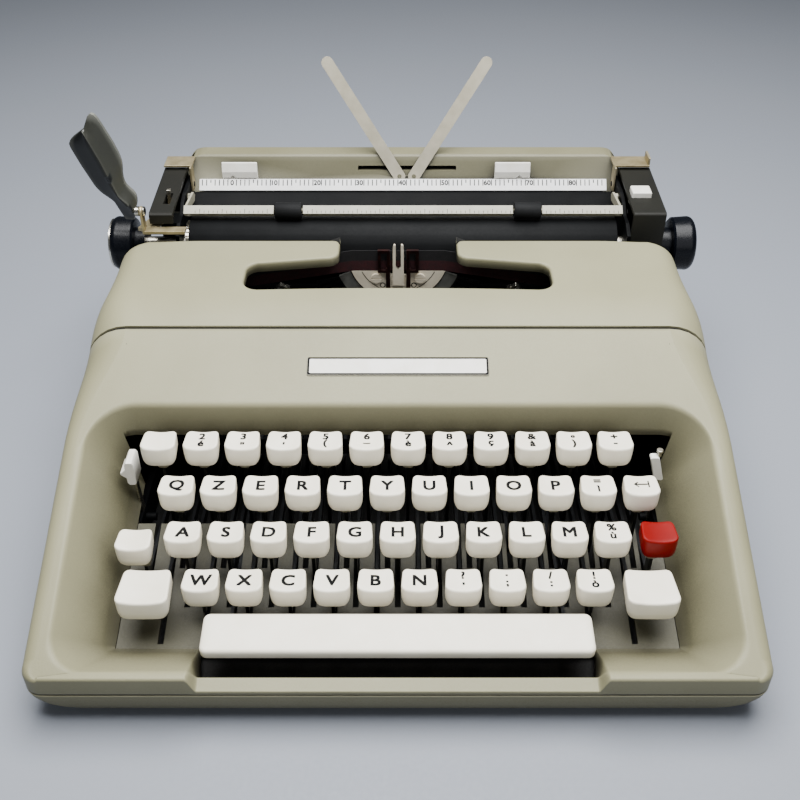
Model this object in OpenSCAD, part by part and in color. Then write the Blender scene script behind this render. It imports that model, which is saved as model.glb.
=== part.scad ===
// Portable typewriter with a sliding carriage, four rows of keys and a lift-off ribbon cover.
// Modules are drawn with y measured from the front of the case; place() moves them so that the
// origin lies under the middle of the whole machine, on the surface it stands on.

/* [Case] */
// Width of the case
case_w = 311; // [307:1:315]
// Depth of the case from the front lip to the rear wall
case_d = 318; // [316:1:322]
// Thickness of the moulded walls
wall = 2.5; // [2.2:0.1:2.8]
// Height of the rubber feet
foot_h = 5; // [4:0.5:6]
// Height of the seam between the base pan and the housing
seam_z = 15; // [14.5:0.5:16]
// Corner radius of the case seen from above
case_corner_r = 9; // [8:1:18]
// Radius of the long upper edges of the case
edge_r = 12; // [8:1:14]
// Height of the front lip
lip_z = 27; // [26.5:0.25:27.5]
// Rise of the upper face per unit of depth
top_slope = 0.42; // [0.415:0.0025:0.425]
// Depth at which the ribbon cover meets the housing
cover_y = 159; // [157:1:160]
// Depth of the rear edge of the ribbon cover
cover_rear_y = 241; // [239:1:241.5]
// Height of the flat of the ribbon cover
cover_z = 97; // [96.5:0.25:98]
// Height of the rear deck under the carriage
deck_z = 57; // [55:0.5:57.5]
// Gap at the seams of the case
seam_gap = 0.4; // [0.2:0.1:0.6]

/* [Key well] */
// Half width of the well at its rim
well_half = 147; // [146:0.5:148]
// Depth of the front rim of the well
well_front = 5.5; // [5:0.5:7]
// Depth of the rear rim of the well
well_rear = 119.5; // [118:0.5:121]
// Corner radius of the well
well_r = 19; // [16:1:22]
// Half width of the well at the slotted floor
floor_half = 124; // [123.5:0.5:126]
// Half width of the notch for the space bar
notch_half = 85; // [84:0.5:87]
// Height of the lip left in the notch
notch_z = 18; // [17:0.5:19]
// Depth of the front edge of the slotted floor
floor_y = 26; // [25:0.5:27]
// Height of the front edge of the slotted floor
floor_z = 10.5; // [10:0.25:10.75]

/* [Keys] */
// Distance from key to key and from row to row
pitch = 19; // [18.9:0.02:19.1]
// Height from one row to the next
row_rise = 10.3; // [10:0.1:10.5]
// Depth of the front edge of the lowest row
key_y = 38; // [37.5:0.25:38.5]
// Height of the top of the lowest row
key_z = 40; // [39.5:0.25:41]
// Width of a key cap
cap_w = 16.3; // [15:0.1:16.6]
// Depth of a key cap
cap_d = 12.6; // [12:0.2:13]
// Height of a key cap
cap_h = 11.5; // [10.5:0.5:12]
// Radius of the dish in a key cap
dish_r = 24; // [20:1:40]
// Length of the space bar
bar_len = 166; // [160:1:167]
// Thickness of a key lever
lever_t = 1.5; // [1.2:0.1:1.6]
// Height of a key lever
lever_h = 5; // [4.5:0.25:5.25]

/* [Key fulcrum] */
// Depth of the shaft that the key levers turn on
fulcrum_y = 285; // [284:0.5:286]
// Height of that shaft
fulcrum_z = 15.5; // [15.25:0.25:15.75]
// Radius of that shaft
fulcrum_r = 2.5; // [2:0.1:2.8]
// Radial clearance of turning fits
run_gap = 0.05; // [0.03:0.01:0.09]

/* [Type basket] */
// Radius of the circle of type bar pivots
pivot_r = 24; // [23.5:0.25:25]
// Length of a type bar from its pivot to its slug
bar_l = 52; // [51:0.25:52]
// Lean of the circle of pivots
basket_lean = 20; // [19:0.5:21]
// Angle of the resting type bars above that circle
bar_rest = 35; // [34:0.5:36]
// Angle between neighbouring type bars
bar_step = 4; // [3.9:0.05:4.1]
// Number of type bars on each side of the middle one
bars_a_side = 21; // [18:1:21]
// Thickness of a type bar
bar_t = 0.9; // [0.8:0.05:1]

/* [Ribbon] */
// Distance of the ribbon spools from the middle
spool_x = 104; // [103:0.5:105]
// Radius of a ribbon spool
spool_r = 21; // [18:0.5:21.5]
// Width of the ribbon
ribbon_w = 13; // [12.5:0.25:13]

/* [Carriage] */
// Place of the carriage to the right of the middle
carriage_x = 2.75; // [2:0.25:3.5]
// Depth of the platen axis
platen_y = 263; // [263:0.25:264]
// Height of the platen axis
platen_z = 81.7; // [81:0.1:82]
// Radius of the platen
platen_r = 15.9; // [15.2:0.1:16]
// Half length of the platen
platen_half = 121; // [119:0.5:121.5]
// Half distance between the end plates of the carriage
plate_half = 126; // [125.5:0.25:126.25]
// Radius of the platen knobs
knob_r = 15.4; // [13:0.2:15.8]
// Distance of the outer face of a knob from the middle of the carriage
knob_x = 166.5; // [165.5:0.5:171]
// Radius of the platen shaft
shaft_r = 4; // [3.5:0.1:4.5]
// Radius of the paper bail rollers
bail_roller_r = 4.7; // [4:0.1:4.7]
// Half length of the ruler
ruler_half = 121.5; // [110:0.5:123]

/* [Carriage top] */
// Half width of the paper table
table_half = 131; // [129:0.5:132]
// Height of the paper table
table_z = 113; // [112.5:0.25:113.5]
// Depth of the rear of the paper table
table_rear = 327; // [325:0.5:330]
// Length of a paper support arm
arm_len = 81; // [70:1:84]
// Width of a paper support arm
arm_w = 7; // [6:0.5:7.5]
// Spread of a paper support arm from upright
arm_angle = 33; // [28:1:38]
// Width of a margin stop
stop_w = 21; // [18:0.5:22]

/* [Hidden] */
$fn = 48;
eps = 0.02;
far = 400;
case_half = case_w / 2;
// The rear group is drawn for a case of this depth and moves with the rear wall
drawn_case_d = 318;
rear = case_d - drawn_case_d;
seam_y = cover_y + rear;
shaft_y = fulcrum_y + rear;
// Depth at which the upper face starts to rise
slope_y = 3;
cover_front_z = lip_z + top_slope * (seam_y - slope_y);
slope_angle = atan(top_slope);
floor_slope = 0.26;
floor_rear_y = 90;
floor_t = 2;
floor_ends = [22, 112];
// Passage for the levers behind the slotted floor
gate_y = 106;
gate_z = [20, 60];
gate_half = floor_half + 4;
foot_x = 105;
foot_in = 40;
foot_r = 9;
// How far the floor and the bilge of the base pan stand back from its rim, in width and depth
pan_floor_in = [26, 5];
pan_bilge_in = [9, 2];
pan_bilge_h = 3;
plate_w = 87;
plate_h = 0.8;
plate_share = 0.253;
plate_y = well_rear + 0.486 * (seam_y - well_rear);
plate_d = plate_share * (seam_y - well_rear);
// Opening in the ribbon cover and the gap for the type guide behind it
opening_half = 80;
// Extra edge radius at the seam, and how far the sides of the cover lean in
seam_round = 5.5;
cover_lean = 4;
opening_y = [189, 217];
opening_r = 6;
gap_half = 32;
gap_front = opening_y[1] - 7;
// Lowest height of the cuts in the ribbon cover
opening_low = 80;
seat_gap = 0.3;
pan_floor = foot_h + wall;
// Rows from the lowest to the highest: place of the first key in pitches, and number of keys
ROW_FIRST = [-4.5, -5, -5.25, -4.75];
ROW_COUNT = [10, 11, 11, 11];
centre_index = 5;
cap_corner_r = 2.6;
dish_h = 1.2;
collar_w = 4.6;
collar_d = 7;
collar_h = 3;
post_d = 5;
post_in = 3;
socket_gap = 0.2;
hub_r = 4.5;
lever_bend_y = 180 + rear;
lever_rise = 0.0515;
slit_w = lever_t + 1.2;
shift_w = 23;
shift_d = 19;
shift_y = key_y - 7;
shift_pitches = 5.75;
shift_lever_pitches = 5.5;
lock_drop = 5;
bar_arm_x = 3.875 * pitch;
bar_arm_rise = 0.0088;
neck_y = key_y - 2.5;
neck_z = [17.6, 23];
bar_y = 13;
bar_z = 29.5;
bar_d = 19;
bar_h = 5.5;
bar_tilt = 7.5;
bar_corner_r = 3;
// Frame rails inside the case
rail_x = 123.8;
rail_t = 3;
rail_front = 94;
rail_rear = 300;
rail_low = 24;
rail_high = 30;
// Depth at which the rail rises to the carriage rail, and at which its front part ends
rail_step = [276, 270];
rail_nose = [150, 140];
// Cross bars: front, under the type basket and at the rear
front_bar = [[144, 24], [150, 29]];
basket_bar = [[258, 18.5], [266, 23]];
rear_bar = [[293, 9], [297, 28]];
drum_at = [-95, 303];
drum_z = 28.3;
drum_r = 10;
drum_post_r = 2;
drum_shelf_half = 15;
selector_y = 104;
selector_z = 18;
selector_pin_r = 2;
selector_x = 120.5;
selector_top = 60;
// Type basket: the point that every type bar strikes, and the middle of the circle of pivots
strike_y = platen_y - platen_r - 3.6;
strike_z = platen_z;
basket_h = sqrt(bar_l * bar_l - pivot_r * pivot_r);
basket_y = strike_y + basket_h * sin(basket_lean);
basket_z = strike_z - basket_h * cos(basket_lean);
segment_in = 10;
segment_out = 30;
segment_t = 7;
slot_w = bar_t + 0.2;
slot_r = pivot_r - 4.6;
guide_front = strike_y + 2.7;
screw_x = 12.5;
screw_z = 68.5;
screw_r = 1.45;
pin_x = 45;
pin_y = 262;
pin_r = 3;
pin_gap = 0.3;
pin_top = 50;
spool_y = 205;
spool_z = 70.3;
spindle_r = 2.5;
spool_h = 17.2;
flange_t = 1.2;
shelf_half = 18;
shelf_in = 14;
shelf_t = 2;
leg_half = 10;
leg_z = 12;
wound_r = 17;
ribbon_t = 0.3;
ribbon_z = 73.2;
ribbon_y = guide_front + 0.1;
vibrator_y = guide_front - 2.3;
post_x = [4.6, 11.6];
leg_w = 2.4;
// Carriage
plate_t = 2;
plate_top = 104;
frame_z = 59;
frame_front = 250;
frame_rear = 305;
track_y = 285;
track_d = 8;
track_z = 44;
track_h = 8;
track_half = 149;
shoe_x = 34;
shoe_half = 9;
bail_y = platen_y - 0.5;
bail_z = platen_z + platen_r + bail_roller_r + 0.3;
bail_pivot_y = 287;
bail_pivot_z = 99;
bail_rod_r = 1.6;
bail_pin_r = 2;
bail_roller_len = 15;
knob_edge_r = 3.5;
bail_roller_x = [-64.75, 70.25];
table_foot_y = 305.5;
table_foot_z = 92;
table_lean = atan(8.5 / 20);
table_low = 62;
table_r = 12;
ruler_w = 7;
ruler_lean = 44.4;
ruler_y = 298.2;
ruler_z = 97.6;
deflector_y = 280.8;
stop_x = [-97.25, 65.25];
stop_y = 303;
stop_top = 112;
arm_pivot_z = 101.4;
arm_gap = 0.4;
arm_t = 1;
arm_x = [-2.1, 6.6];
arm_pin_r = 1.2;
// End covers: outer faces, front, rear, and heights of the top, of the open front and of the foot
cover_x = [-141, 146.25];
end_y = [250, 305];
end_z = [107.3, 110];
end_low = 62;
end_step = 272;
// Slot and pin of the line-space selector, and the carriage release button
slot_at = [[-134.8, 261], [-131, 273]];
pin_at = [[-133.9, 269], [-131.9, 271.6]];
button_at = [[130, 268], [141, 277.5]];
button_z = [101, 111];
button_gap = 0.4;
// Release tabs: hinge, inner flange, plate and the turned-up end of the right one
tab_y = 300;
tab_z = 101;
tab_pin_r = 1.5;
flange_x = [124.4, 125.6];
flange_y = [296.5, 303.5];
tab_d = 13;
tab_top = [111.4, 112.6];
tab_end = [141, 145.5];
tab_lip_z = 117;
// Return lever: pivot and end of its metal arm, hinge in the upright ear of the arm
hand_pivot = [-137, 264];
hand_end = [-143.7, 247];
hand_z = 97.4;
hand_t = 2;
hand_w = 9;
hand_r = 6;
stud_r = 2;
ear_x = [-144.4, -143];
ear_r = 2.8;
ear_pin_r = 1.5;
tongue_z = hand_z - 0.2;
strip_x = -121;
lever_z = 110.4;
lever_d = 6;
// Outline of the return lever about its hinge, from the right edge upwards and round to the left
PADDLE = [
  [-4.7, -5.3], [-2.8, 1.2], [-1.4, 6], [-1.8, 10.4], [-6.5, 15.8], [-7, 20.6], [-6.1, 27.6],
  [-6.6, 32.3], [-9.3, 40.3], [-14.5, 52.5], [-17, 55.8], [-19.4, 54.2], [-22.9, 47], [-30.3, 41.9],
  [-31.8, 39.7], [-31.9, 38], [-27.9, 27], [-22.6, 14.6], [-20, 11], [-14.2, 6.1], [-11.1, -1.3], [-9.5, -5]
];
paddle_reach = 31.9;
// Middle of the whole machine, between the return lever and a knob and between the lip and an arm tip
arm_foot_y = table_foot_y + (arm_pivot_z - table_foot_z) * tan(table_lean) - arm_gap;
arm_tip_y = arm_foot_y + ((arm_len - arm_w / 2) * cos(arm_angle) + arm_w / 2) * sin(table_lean);
mid_x = carriage_x + (hand_end[0] - paddle_reach + knob_x) / 2;
mid_y = (arm_tip_y + rear) / 2;

module place() {
  translate([-mid_x, -mid_y, 0]) children();
}

// Moves its children with the rear wall
module behind() {
  place() translate([0, rear, 0]) children();
}

module on_carriage() {
  behind() translate([carriage_x, 0, 0]) children();
}

// A solid with the given outline in depth and height, from x0 to x1
module side_extrude(x0, x1, outline) {
  translate([x0, 0, 0]) rotate([90, 0, 90]) linear_extrude(x1 - x0) polygon(outline);
}

// A cylinder along x
module x_cylinder(x0, x1, y, z, r) {
  translate([x0, y, z]) rotate([0, 90, 0]) cylinder(r = r, h = x1 - x0);
}

// An upright cylinder
module z_cylinder(x, y, z0, z1, r) {
  translate([x, y, z0]) cylinder(r = r, h = z1 - z0);
}

// A box given by its two far corners
module box(a, b) {
  translate(a) cube(b - a);
}

// A block with round upright edges
module rounded_block(a, b, r) {
  for (s = [[r, 0], [0, r]])
    box([a[0] + s[0], a[1] + s[1], a[2]], [b[0] - s[0], b[1] - s[1], b[2]]);
  for (x = [a[0] + r, b[0] - r], y = [a[1] + r, b[1] - r])
    z_cylinder(x, y, a[2], b[2], r);
}

// A thin level plate with round corners, used as one layer of a hull
module layer(half, y0, y1, z, r) {
  for (x = [-half + r, half - r], y = [y0 + r, y1 - r])
    translate([x, y, z]) cylinder(r = r, h = eps, $fn = 32);
}

// A thin upright slice of the case with round upper corners, whose sides may lean in towards the top
module slice(stop, inset, low) {
  top = stop[1] - inset;
  r = min(edge_r + stop[2] - inset, (top - low) / 2);
  for (x = [-1, 1])
    translate([x * (case_half - inset - stop[3] - r), stop[0], top - r])
      rotate([-90, 0, 0]) cylinder(r = r, h = eps, $fn = 32);
  translate([-case_half + inset, stop[0], low]) cube([2 * (case_half - inset), eps, eps]);
}

// A body made of hulls from slice to slice; a stop gives depth, height, extra edge radius and lean
module slices(stops, inset, low) {
  for (i = [0 : len(stops) - 2])
    hull() {
      slice(stops[i], inset, low);
      slice(stops[i + 1], inset, low);
    }
}

// The outline of the case seen from above
module case_outline(inset, z0, z1) {
  half = case_half - inset;
  rounded_block([-half, inset, z0], [half, case_d - inset, z1], case_corner_r - inset);
}

function top_at(y) = lip_z + top_slope * (y - slope_y);
function floor_at(y) = floor_z + floor_slope * (y - floor_y);

module base_pan() {
  color("tan") place() difference() {
    pan_body(0, foot_h, seam_z - seam_gap);
    pan_body(wall, pan_floor, seam_z);
  }
}

// A body of the pan: a floor, a bilge above it and a rim
module pan_body(inset, low, high) {
  flat = pan_floor_in + [inset, inset];
  bilge = pan_bilge_in + [inset, inset];
  hull() {
    layer(case_half - flat[0], flat[1], case_d - flat[1], low, case_corner_r);
    layer(case_half - bilge[0], bilge[1], case_d - bilge[1], low + pan_bilge_h, case_corner_r);
  }
  hull() {
    layer(case_half - bilge[0], bilge[1], case_d - bilge[1], low + pan_bilge_h, case_corner_r);
    layer(case_half - inset, inset, case_d - inset, high - eps, case_corner_r - inset);
  }
}

module rubber_feet() {
  color("dimgray") place() for (x = [-foot_x, foot_x], y = [foot_in, case_d - foot_in])
    z_cylinder(x, y, 0, foot_h, foot_r);
}

module upper_housing() {
  lip = [[0, lip_z - 5, 0, 0], [1.6, lip_z - 1.6, 0, 0], [5, top_at(5), 0, 0],
    [well_rear, top_at(well_rear), 0, 0], [seam_y, cover_front_z, seam_round, 0]];
  inside = [[wall, lip_z - 1, 0, 0], [5, top_at(5), 0, 0],
    [well_rear, top_at(well_rear), 0, 0], [seam_y + 1, cover_front_z, seam_round, 0]];
  notch_rear = well_front + 4.5;
  color("tan") place() difference() {
    union() {
      difference() {
        intersection() {
          slices(lip, 0, seam_z);
          case_outline(0, 0, far);
        }
        difference() {
          slices(inside, wall, seam_z - 1);
          well(wall);
        }
      }
      rear_walls();
    }
    well(0);
    side_extrude(-floor_half, floor_half, [[floor_ends[0], 0], [floor_ends[1], 0],
      [floor_ends[1], floor_at(floor_ends[1]) + 1], [floor_ends[0], floor_at(floor_ends[0]) + 1]]);
    box([-gate_half, gate_y, gate_z[0]], [gate_half, well_rear + 8, gate_z[1]]);
    box([-notch_half, -1, notch_z], [notch_half, notch_rear, far]);
    box([-notch_half, notch_rear - 0.5, pan_floor + 0.5], [notch_half, floor_y, far]);
  }
}

// The bowl that holds the keys
module well(grow) {
  hull() {
    for (x = [-1, 1], y = [well_front + well_r, well_rear - well_r])
      translate([x * (well_half - well_r), y, top_at(y > 60 ? y + well_r : y - well_r)])
        cylinder(r = well_r + grow, h = 90);
    for (x = [-1, 1], y = floor_ends)
      translate([x * floor_half, y, floor_at(y)]) cylinder(r = 0.5 + grow, h = 1);
  }
}

// Side walls and rear wall under the ribbon cover and the carriage, with the rear deck
module rear_walls() {
  difference() {
    case_outline(0, seam_z, deck_z);
    case_outline(wall, seam_z - 1, deck_z + 1);
    box([-far, -1, 0], [far, seam_y - 1, far]);
  }
  intersection() {
    case_outline(wall / 2, deck_z - wall, deck_z);
    box([-far, rail_rear + rear, 0], [far, 2 * far, far]);
  }
}

module name_plate() {
  color("white") place() translate([0, plate_y, top_at(plate_y)]) rotate([slope_angle, 0, 0])
    translate([-plate_w / 2, -plate_d / 2, eps]) cube([plate_w, plate_d, plate_h]);
}

// The slotted plate under the keys
module key_floor() {
  half = floor_half - seat_gap;
  color("tan") place() difference() {
    side_extrude(-half, half, [
      [floor_y, floor_z - floor_t], [floor_rear_y, floor_at(floor_rear_y) - floor_t],
      [floor_rear_y, floor_at(floor_rear_y)], [floor_y, floor_z]]);
    for (row = [0 : 2], i = [0 : ROW_COUNT[row] - 1])
      slit(row_x(row, i), row_y(row) - 9);
    for (side = [-1, 1]) {
      slit(side * shift_lever_pitches * pitch, shift_y);
      slit(side * 6 * pitch, row_y(1) - 9);
      slit(side * bar_arm_x, floor_y + 4);
    }
    slit(shift_pitches * pitch, row_y(2) - 9);
  }
}

module slit(x, y) {
  box([x - slit_w / 2, y, 0], [x + slit_w / 2, floor_rear_y + 5, 60]);
}

function cover_stops(over) = [
  [cover_y + seam_gap - over, cover_front_z + 0.1, seam_round, 0], [cover_y + 13, cover_z - 0.7, 8, 1],
  [cover_y + 22, cover_z, 7, cover_lean / 2], [cover_rear_y - 21, cover_z, 4, cover_lean],
  [cover_rear_y - 7, cover_z - 0.4, 3, cover_lean + 2],
  [cover_rear_y + over, cover_z - 1, 2, cover_lean + 7]];

module ribbon_cover() {
  low = deck_z + seam_gap;
  color("tan") behind() difference() {
    slices(cover_stops(0), 0, low);
    slices(cover_stops(1), wall, low - 1);
    rounded_block([-opening_half, opening_y[0], opening_low], [opening_half, opening_y[1], far], opening_r);
    box([-gap_half, gap_front, opening_low], [gap_half, far, far]);
  }
}

// A bar across the frame, given by two corners in depth and height
module cross_bar(ends) {
  side_extrude(-rail_x - 1, rail_x + 1, [
    ends[0], [ends[1][0], ends[0][1]], ends[1], [ends[0][0], ends[1][1]]]);
}

module chassis_frame() {
  shelf_top = rear_bar[1][1];
  outline = [
    [rail_front - rear, pan_floor], [rail_rear, pan_floor], [rail_rear, track_z], [rail_step[0], track_z],
    [rail_step[1], rail_high], [rail_nose[0], rail_high], [rail_nose[1], rail_low],
    [rail_front - rear, rail_low]];
  color("gray") {
    behind() difference() {
      union() {
        for (side = [-1, 1]) {
          x = side > 0 ? rail_x : -rail_x - rail_t;
          side_extrude(x, x + rail_t, outline);
          z_cylinder(side * pin_x, pin_y, basket_bar[0][1] + 2.5, pin_top, pin_r);
        }
        for (bar = [front_bar, basket_bar, rear_bar]) cross_bar(bar);
        box([drum_at[0] - drum_shelf_half, rear_bar[0][0], shelf_top - 2],
          [drum_at[0] + drum_shelf_half, drum_at[1] + drum_r, shelf_top]);
        z_cylinder(drum_at[0], drum_at[1], shelf_top - 2, drum_z + 13.7, drum_post_r);
      }
      x_cylinder(-far, far, fulcrum_y, fulcrum_z, fulcrum_r + 0.01);
    }
    place() for (side = [0, 1]) mirror([side, 0, 0])
      x_cylinder(selector_x - 1.5, rail_x + 0.5, selector_y, selector_z, selector_pin_r);
  }
}

module fulcrum_shaft() {
  color("silver") behind()
    x_cylinder(-rail_x - rail_t, rail_x + rail_t, fulcrum_y, fulcrum_z, fulcrum_r);
}

module carriage_rail() {
  color("silver") behind()
    box([-track_half, track_y, track_z], [track_half, track_y + track_d, track_z + track_h]);
}

// The spring drum with two flanges and four sight holes
module mainspring_drum() {
  color("gray") behind() translate([drum_at[0], drum_at[1], drum_z]) difference() {
    union() {
      cylinder(r = drum_r, h = flange_t);
      cylinder(r = drum_r - 1.5, h = 10);
      translate([0, 0, 9.7]) cylinder(r = drum_r, h = flange_t);
    }
    translate([0, 0, -1]) cylinder(r = drum_post_r + run_gap, h = far);
    for (a = [0 : 90 : 270]) rotate(a) z_cylinder(drum_r - 4.5, 0, 8.7, far, 1.4);
  }
}

// A shelf and spindle for each ribbon spool, carried on a leg from the frame rail
module ribbon_platforms() {
  shelf_z = spool_z - 0.3;
  leg_x = rail_x + rail_t;
  color("gray") behind() for (side = [0, 1]) mirror([side, 0, 0]) {
    box([spool_x - shelf_in, spool_y - shelf_half, shelf_z - shelf_t],
      [leg_x + shelf_t, spool_y + shelf_half, shelf_z]);
    box([leg_x, spool_y - leg_half, leg_z], [leg_x + shelf_t, spool_y + leg_half, shelf_z - 1]);
    z_cylinder(spool_x, spool_y, shelf_z - 1, spool_z + spool_h + 1.5, spindle_r);
  }
}

// A spool with two flanges, its wound ribbon and three holes in the upper flange
module ribbon_spool(x) {
  color("dimgray") behind() translate([x, spool_y, spool_z]) difference() {
    union() {
      cylinder(r = spool_r, h = flange_t);
      translate([0, 0, 1]) cylinder(r = wound_r, h = spool_h - 2);
      translate([0, 0, spool_h - flange_t]) cylinder(r = spool_r, h = flange_t);
    }
    translate([0, 0, -1]) cylinder(r = spindle_r + run_gap, h = far);
    for (a = [0 : 120 : 240]) rotate(a) z_cylinder(9, 0, spool_h - 3.5, far, 3);
  }
}

module left_ribbon_spool() {
  ribbon_spool(-spool_x);
}

module right_ribbon_spool() {
  ribbon_spool(spool_x);
}

// The ribbon runs straight past the print point and then to each spool
module ribbon_line(a, b) {
  d = b - a;
  translate([a[0], a[1], ribbon_z]) rotate(atan2(d[1], d[0])) cube([norm(d), ribbon_t, ribbon_w]);
}

module ink_ribbon() {
  bend = [-26, ribbon_y];
  d = bend - [-spool_x, spool_y];
  leave = atan2(d[1], d[0]) + acos((wound_r + 0.05) / norm(d));
  start = [-spool_x + (wound_r + 0.05) * cos(leave), spool_y + (wound_r + 0.05) * sin(leave)];
  color("black") behind() {
    ribbon_line([-26, ribbon_y], [26, ribbon_y]);
    for (side = [0, 1]) mirror([side, 0, 0]) ribbon_line(start, bend);
  }
}

// Two ribbon carriers on a common yoke
module ribbon_vibrator() {
  back = vibrator_y + 1.7;
  color("silver") behind() {
    for (side = [0, 1]) mirror([side, 0, 0]) {
      box([post_x[0], vibrator_y, 44], [post_x[0] + leg_w, back, 76]);
      difference() {
        box([post_x[0], vibrator_y, 73], [post_x[1], back, 87.5]);
        box([post_x[0] + 1.8, vibrator_y - 1, 75], [post_x[1] - 1.8, back + 1, 85.5]);
      }
    }
    box([-post_x[0] - leg_w, vibrator_y, 44], [post_x[0] + leg_w, back, 48]);
  }
}

// Moves its children into the leaning circle of pivots, with the front along -y
module basket() {
  translate([0, basket_y, basket_z]) rotate([basket_lean, 0, 0]) children();
}

module type_segment() {
  half = segment_t / 2;
  color("silver") behind() difference() {
    union() {
      basket() difference() {
        translate([0, 0, -half]) cylinder(r = segment_out, h = segment_t);
        translate([0, 0, -half - 1]) cylinder(r = segment_in, h = segment_t + 2);
        translate([-far, 5, -far]) cube(2 * far);
      }
      for (side = [0, 1]) mirror([side, 0, 0])
        box([segment_out - 10, pin_y - 3.5, 34.5], [pin_x + 2 * pin_r, pin_y + 4, 42]);
    }
    basket() for (i = [-bars_a_side : bars_a_side]) rotate(i * bar_step)
      translate([-slot_w / 2, -far, -far]) cube([slot_w, far - slot_r, 2 * far]);
    for (side = [-1, 1]) z_cylinder(side * pin_x, pin_y, 0, far, pin_r + pin_gap);
  }
}

// A type bar at rest, in the circle of pivots, and its slug with the type face on top
module typebar() {
  translate([0, -pivot_r, 0]) rotate([-bar_rest, 0, 0]) {
    translate([-bar_t / 2, -bar_l - 3, -2]) cube([bar_t, bar_l + 3, 4]);
    translate([-bar_t / 2, 0, 0]) rotate([0, 90, 0]) cylinder(r = 3, h = bar_t);
    translate([-1.2, -bar_l - 3.7, -2]) cube([2.4, 7.4, 4.6]);
  }
}

module typebars() {
  color("dimgray") behind() basket() for (i = [-bars_a_side : bars_a_side])
    if (i != 0) rotate(i * bar_step) typebar();
}

module centre_typebar() {
  color("silver") behind() basket() typebar();
}

// The plate behind the type bars and the fork that the struck bar enters
module type_guide() {
  back = guide_front + 2;
  color("silver") behind() difference() {
    union() {
      box([-25, guide_front, 50], [25, back, 73]);
      box([-3.6, guide_front - 1.6, 64], [3.6, guide_front, 90.5]);
      for (side = [0, 1]) mirror([side, 0, 0]) box([10, guide_front, 38.2], [13.4, back, 51]);
    }
    box([-1.9, 0, 70], [1.9, far, far]);
    for (x = [-screw_x, screw_x])
      translate([x, 0, screw_z]) rotate([-90, 0, 0]) cylinder(r = screw_r + 0.05, h = far);
  }
}

module segment_screws() {
  color("silver") behind() for (x = [-screw_x, screw_x])
    translate([x, guide_front, screw_z]) rotate([90, 0, 0]) difference() {
      union() {
        cylinder(r = 3, h = 1.2);
        translate([0, 0, -2]) cylinder(r = screw_r, h = 2.5);
      }
      translate([-4, -0.35, 0.7]) cube([8, 0.7, 2]);
    }
}

// Keys
function row_x(row, i) = (ROW_FIRST[row] + i) * pitch;
function row_y(row) = key_y + row * pitch;
function row_z(row) = key_z + row * row_rise;
function lever_low(y, rise) = fulcrum_z - lever_h / 2 + max(0, lever_bend_y - y) * rise;

// A dished cap with its front upper edge at the given depth and height
module cap(x, y, top, w, d, post_x) {
  low = top - cap_h;
  difference() {
    union() {
      rounded_block([x - w / 2, y, low], [x + w / 2, y + d, top], cap_corner_r);
      box([post_x - collar_w / 2, y + d / 2 - collar_d / 2, low - collar_h],
        [post_x + collar_w / 2, y + d / 2 + collar_d / 2, low + 1]);
    }
    translate([x, y - 1, top + dish_r - dish_h]) rotate([-90, 0, 0])
      cylinder(r = dish_r, h = d + 2, $fn = 96);
    post_socket(post_x, y + d / 2, low - collar_h - 1, low + post_in);
  }
}

// The space that the post of a lever takes up in a cap
module post_socket(x, y, z0, z1) {
  dx = lever_t / 2 + socket_gap;
  dy = post_d / 2 + socket_gap;
  box([x - dx, y - dy, z0], [x + dx, y + dy, z1 + socket_gap]);
}

// A flat lever from the fulcrum to a post under the cap
module lever(x, y, low, rise = lever_rise) {
  difference() {
    union() {
      side_extrude(x - lever_t / 2, x + lever_t / 2, [
        [shaft_y, fulcrum_z - lever_h / 2], [shaft_y, fulcrum_z + lever_h / 2],
        [lever_bend_y, fulcrum_z + lever_h / 2], [y + post_d / 2, lever_low(y, rise) + lever_h],
        [y + post_d / 2, low + post_in], [y - post_d / 2, low + post_in],
        [y - post_d / 2, lever_low(y, rise)], [lever_bend_y, fulcrum_z - lever_h / 2]]);
      x_cylinder(x - lever_t / 2, x + lever_t / 2, shaft_y, fulcrum_z, hub_r);
    }
    x_cylinder(x - lever_t, x + lever_t, shaft_y, fulcrum_z, fulcrum_r + run_gap);
  }
}

module row_caps(row) {
  color("ivory") place() for (i = [0 : ROW_COUNT[row] - 1])
    if (!(row == 1 && i == centre_index))
      cap(row_x(row, i), row_y(row), row_z(row), cap_w, cap_d, row_x(row, i));
}

module row_levers(row) {
  color("gray") place() for (i = [0 : ROW_COUNT[row] - 1])
    if (!(row == 1 && i == centre_index))
      lever(row_x(row, i), row_y(row) + cap_d / 2, row_z(row) - cap_h);
}

module number_row_caps() {
  row_caps(3);
}

module number_row_levers() {
  row_levers(3);
}

module upper_row_caps() {
  row_caps(2);
}

module upper_row_levers() {
  row_levers(2);
}

module home_row_caps() {
  row_caps(1);
}

module home_row_levers() {
  row_levers(1);
}

module lower_row_caps() {
  row_caps(0);
}

module lower_row_levers() {
  row_levers(0);
}

// A single key: cap and lever
module key(tone, x, y, top, w, d, lever_x) {
  color(tone) place() cap(x, y, top, w, d, lever_x);
  color("gray") place() lever(lever_x, y + d / 2, top - cap_h);
}

module centre_key() {
  key("ivory", 0, row_y(1), row_z(1), cap_w, cap_d, 0);
}

module shift_keys() {
  for (side = [-1, 1])
    key("ivory", side * shift_pitches * pitch, shift_y, key_z, shift_w, shift_d,
      side * shift_lever_pitches * pitch);
}

module shift_lock_key() {
  key("ivory", -6 * pitch, row_y(1), row_z(1) - lock_drop, cap_w, cap_d, -6 * pitch);
}

module backspace_key() {
  key("ivory", shift_pitches * pitch, row_y(2), row_z(2), cap_w, cap_d, shift_pitches * pitch);
}

module tab_key() {
  key("red", 6 * pitch, row_y(1), row_z(1), cap_w, cap_d, 6 * pitch);
}

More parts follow.
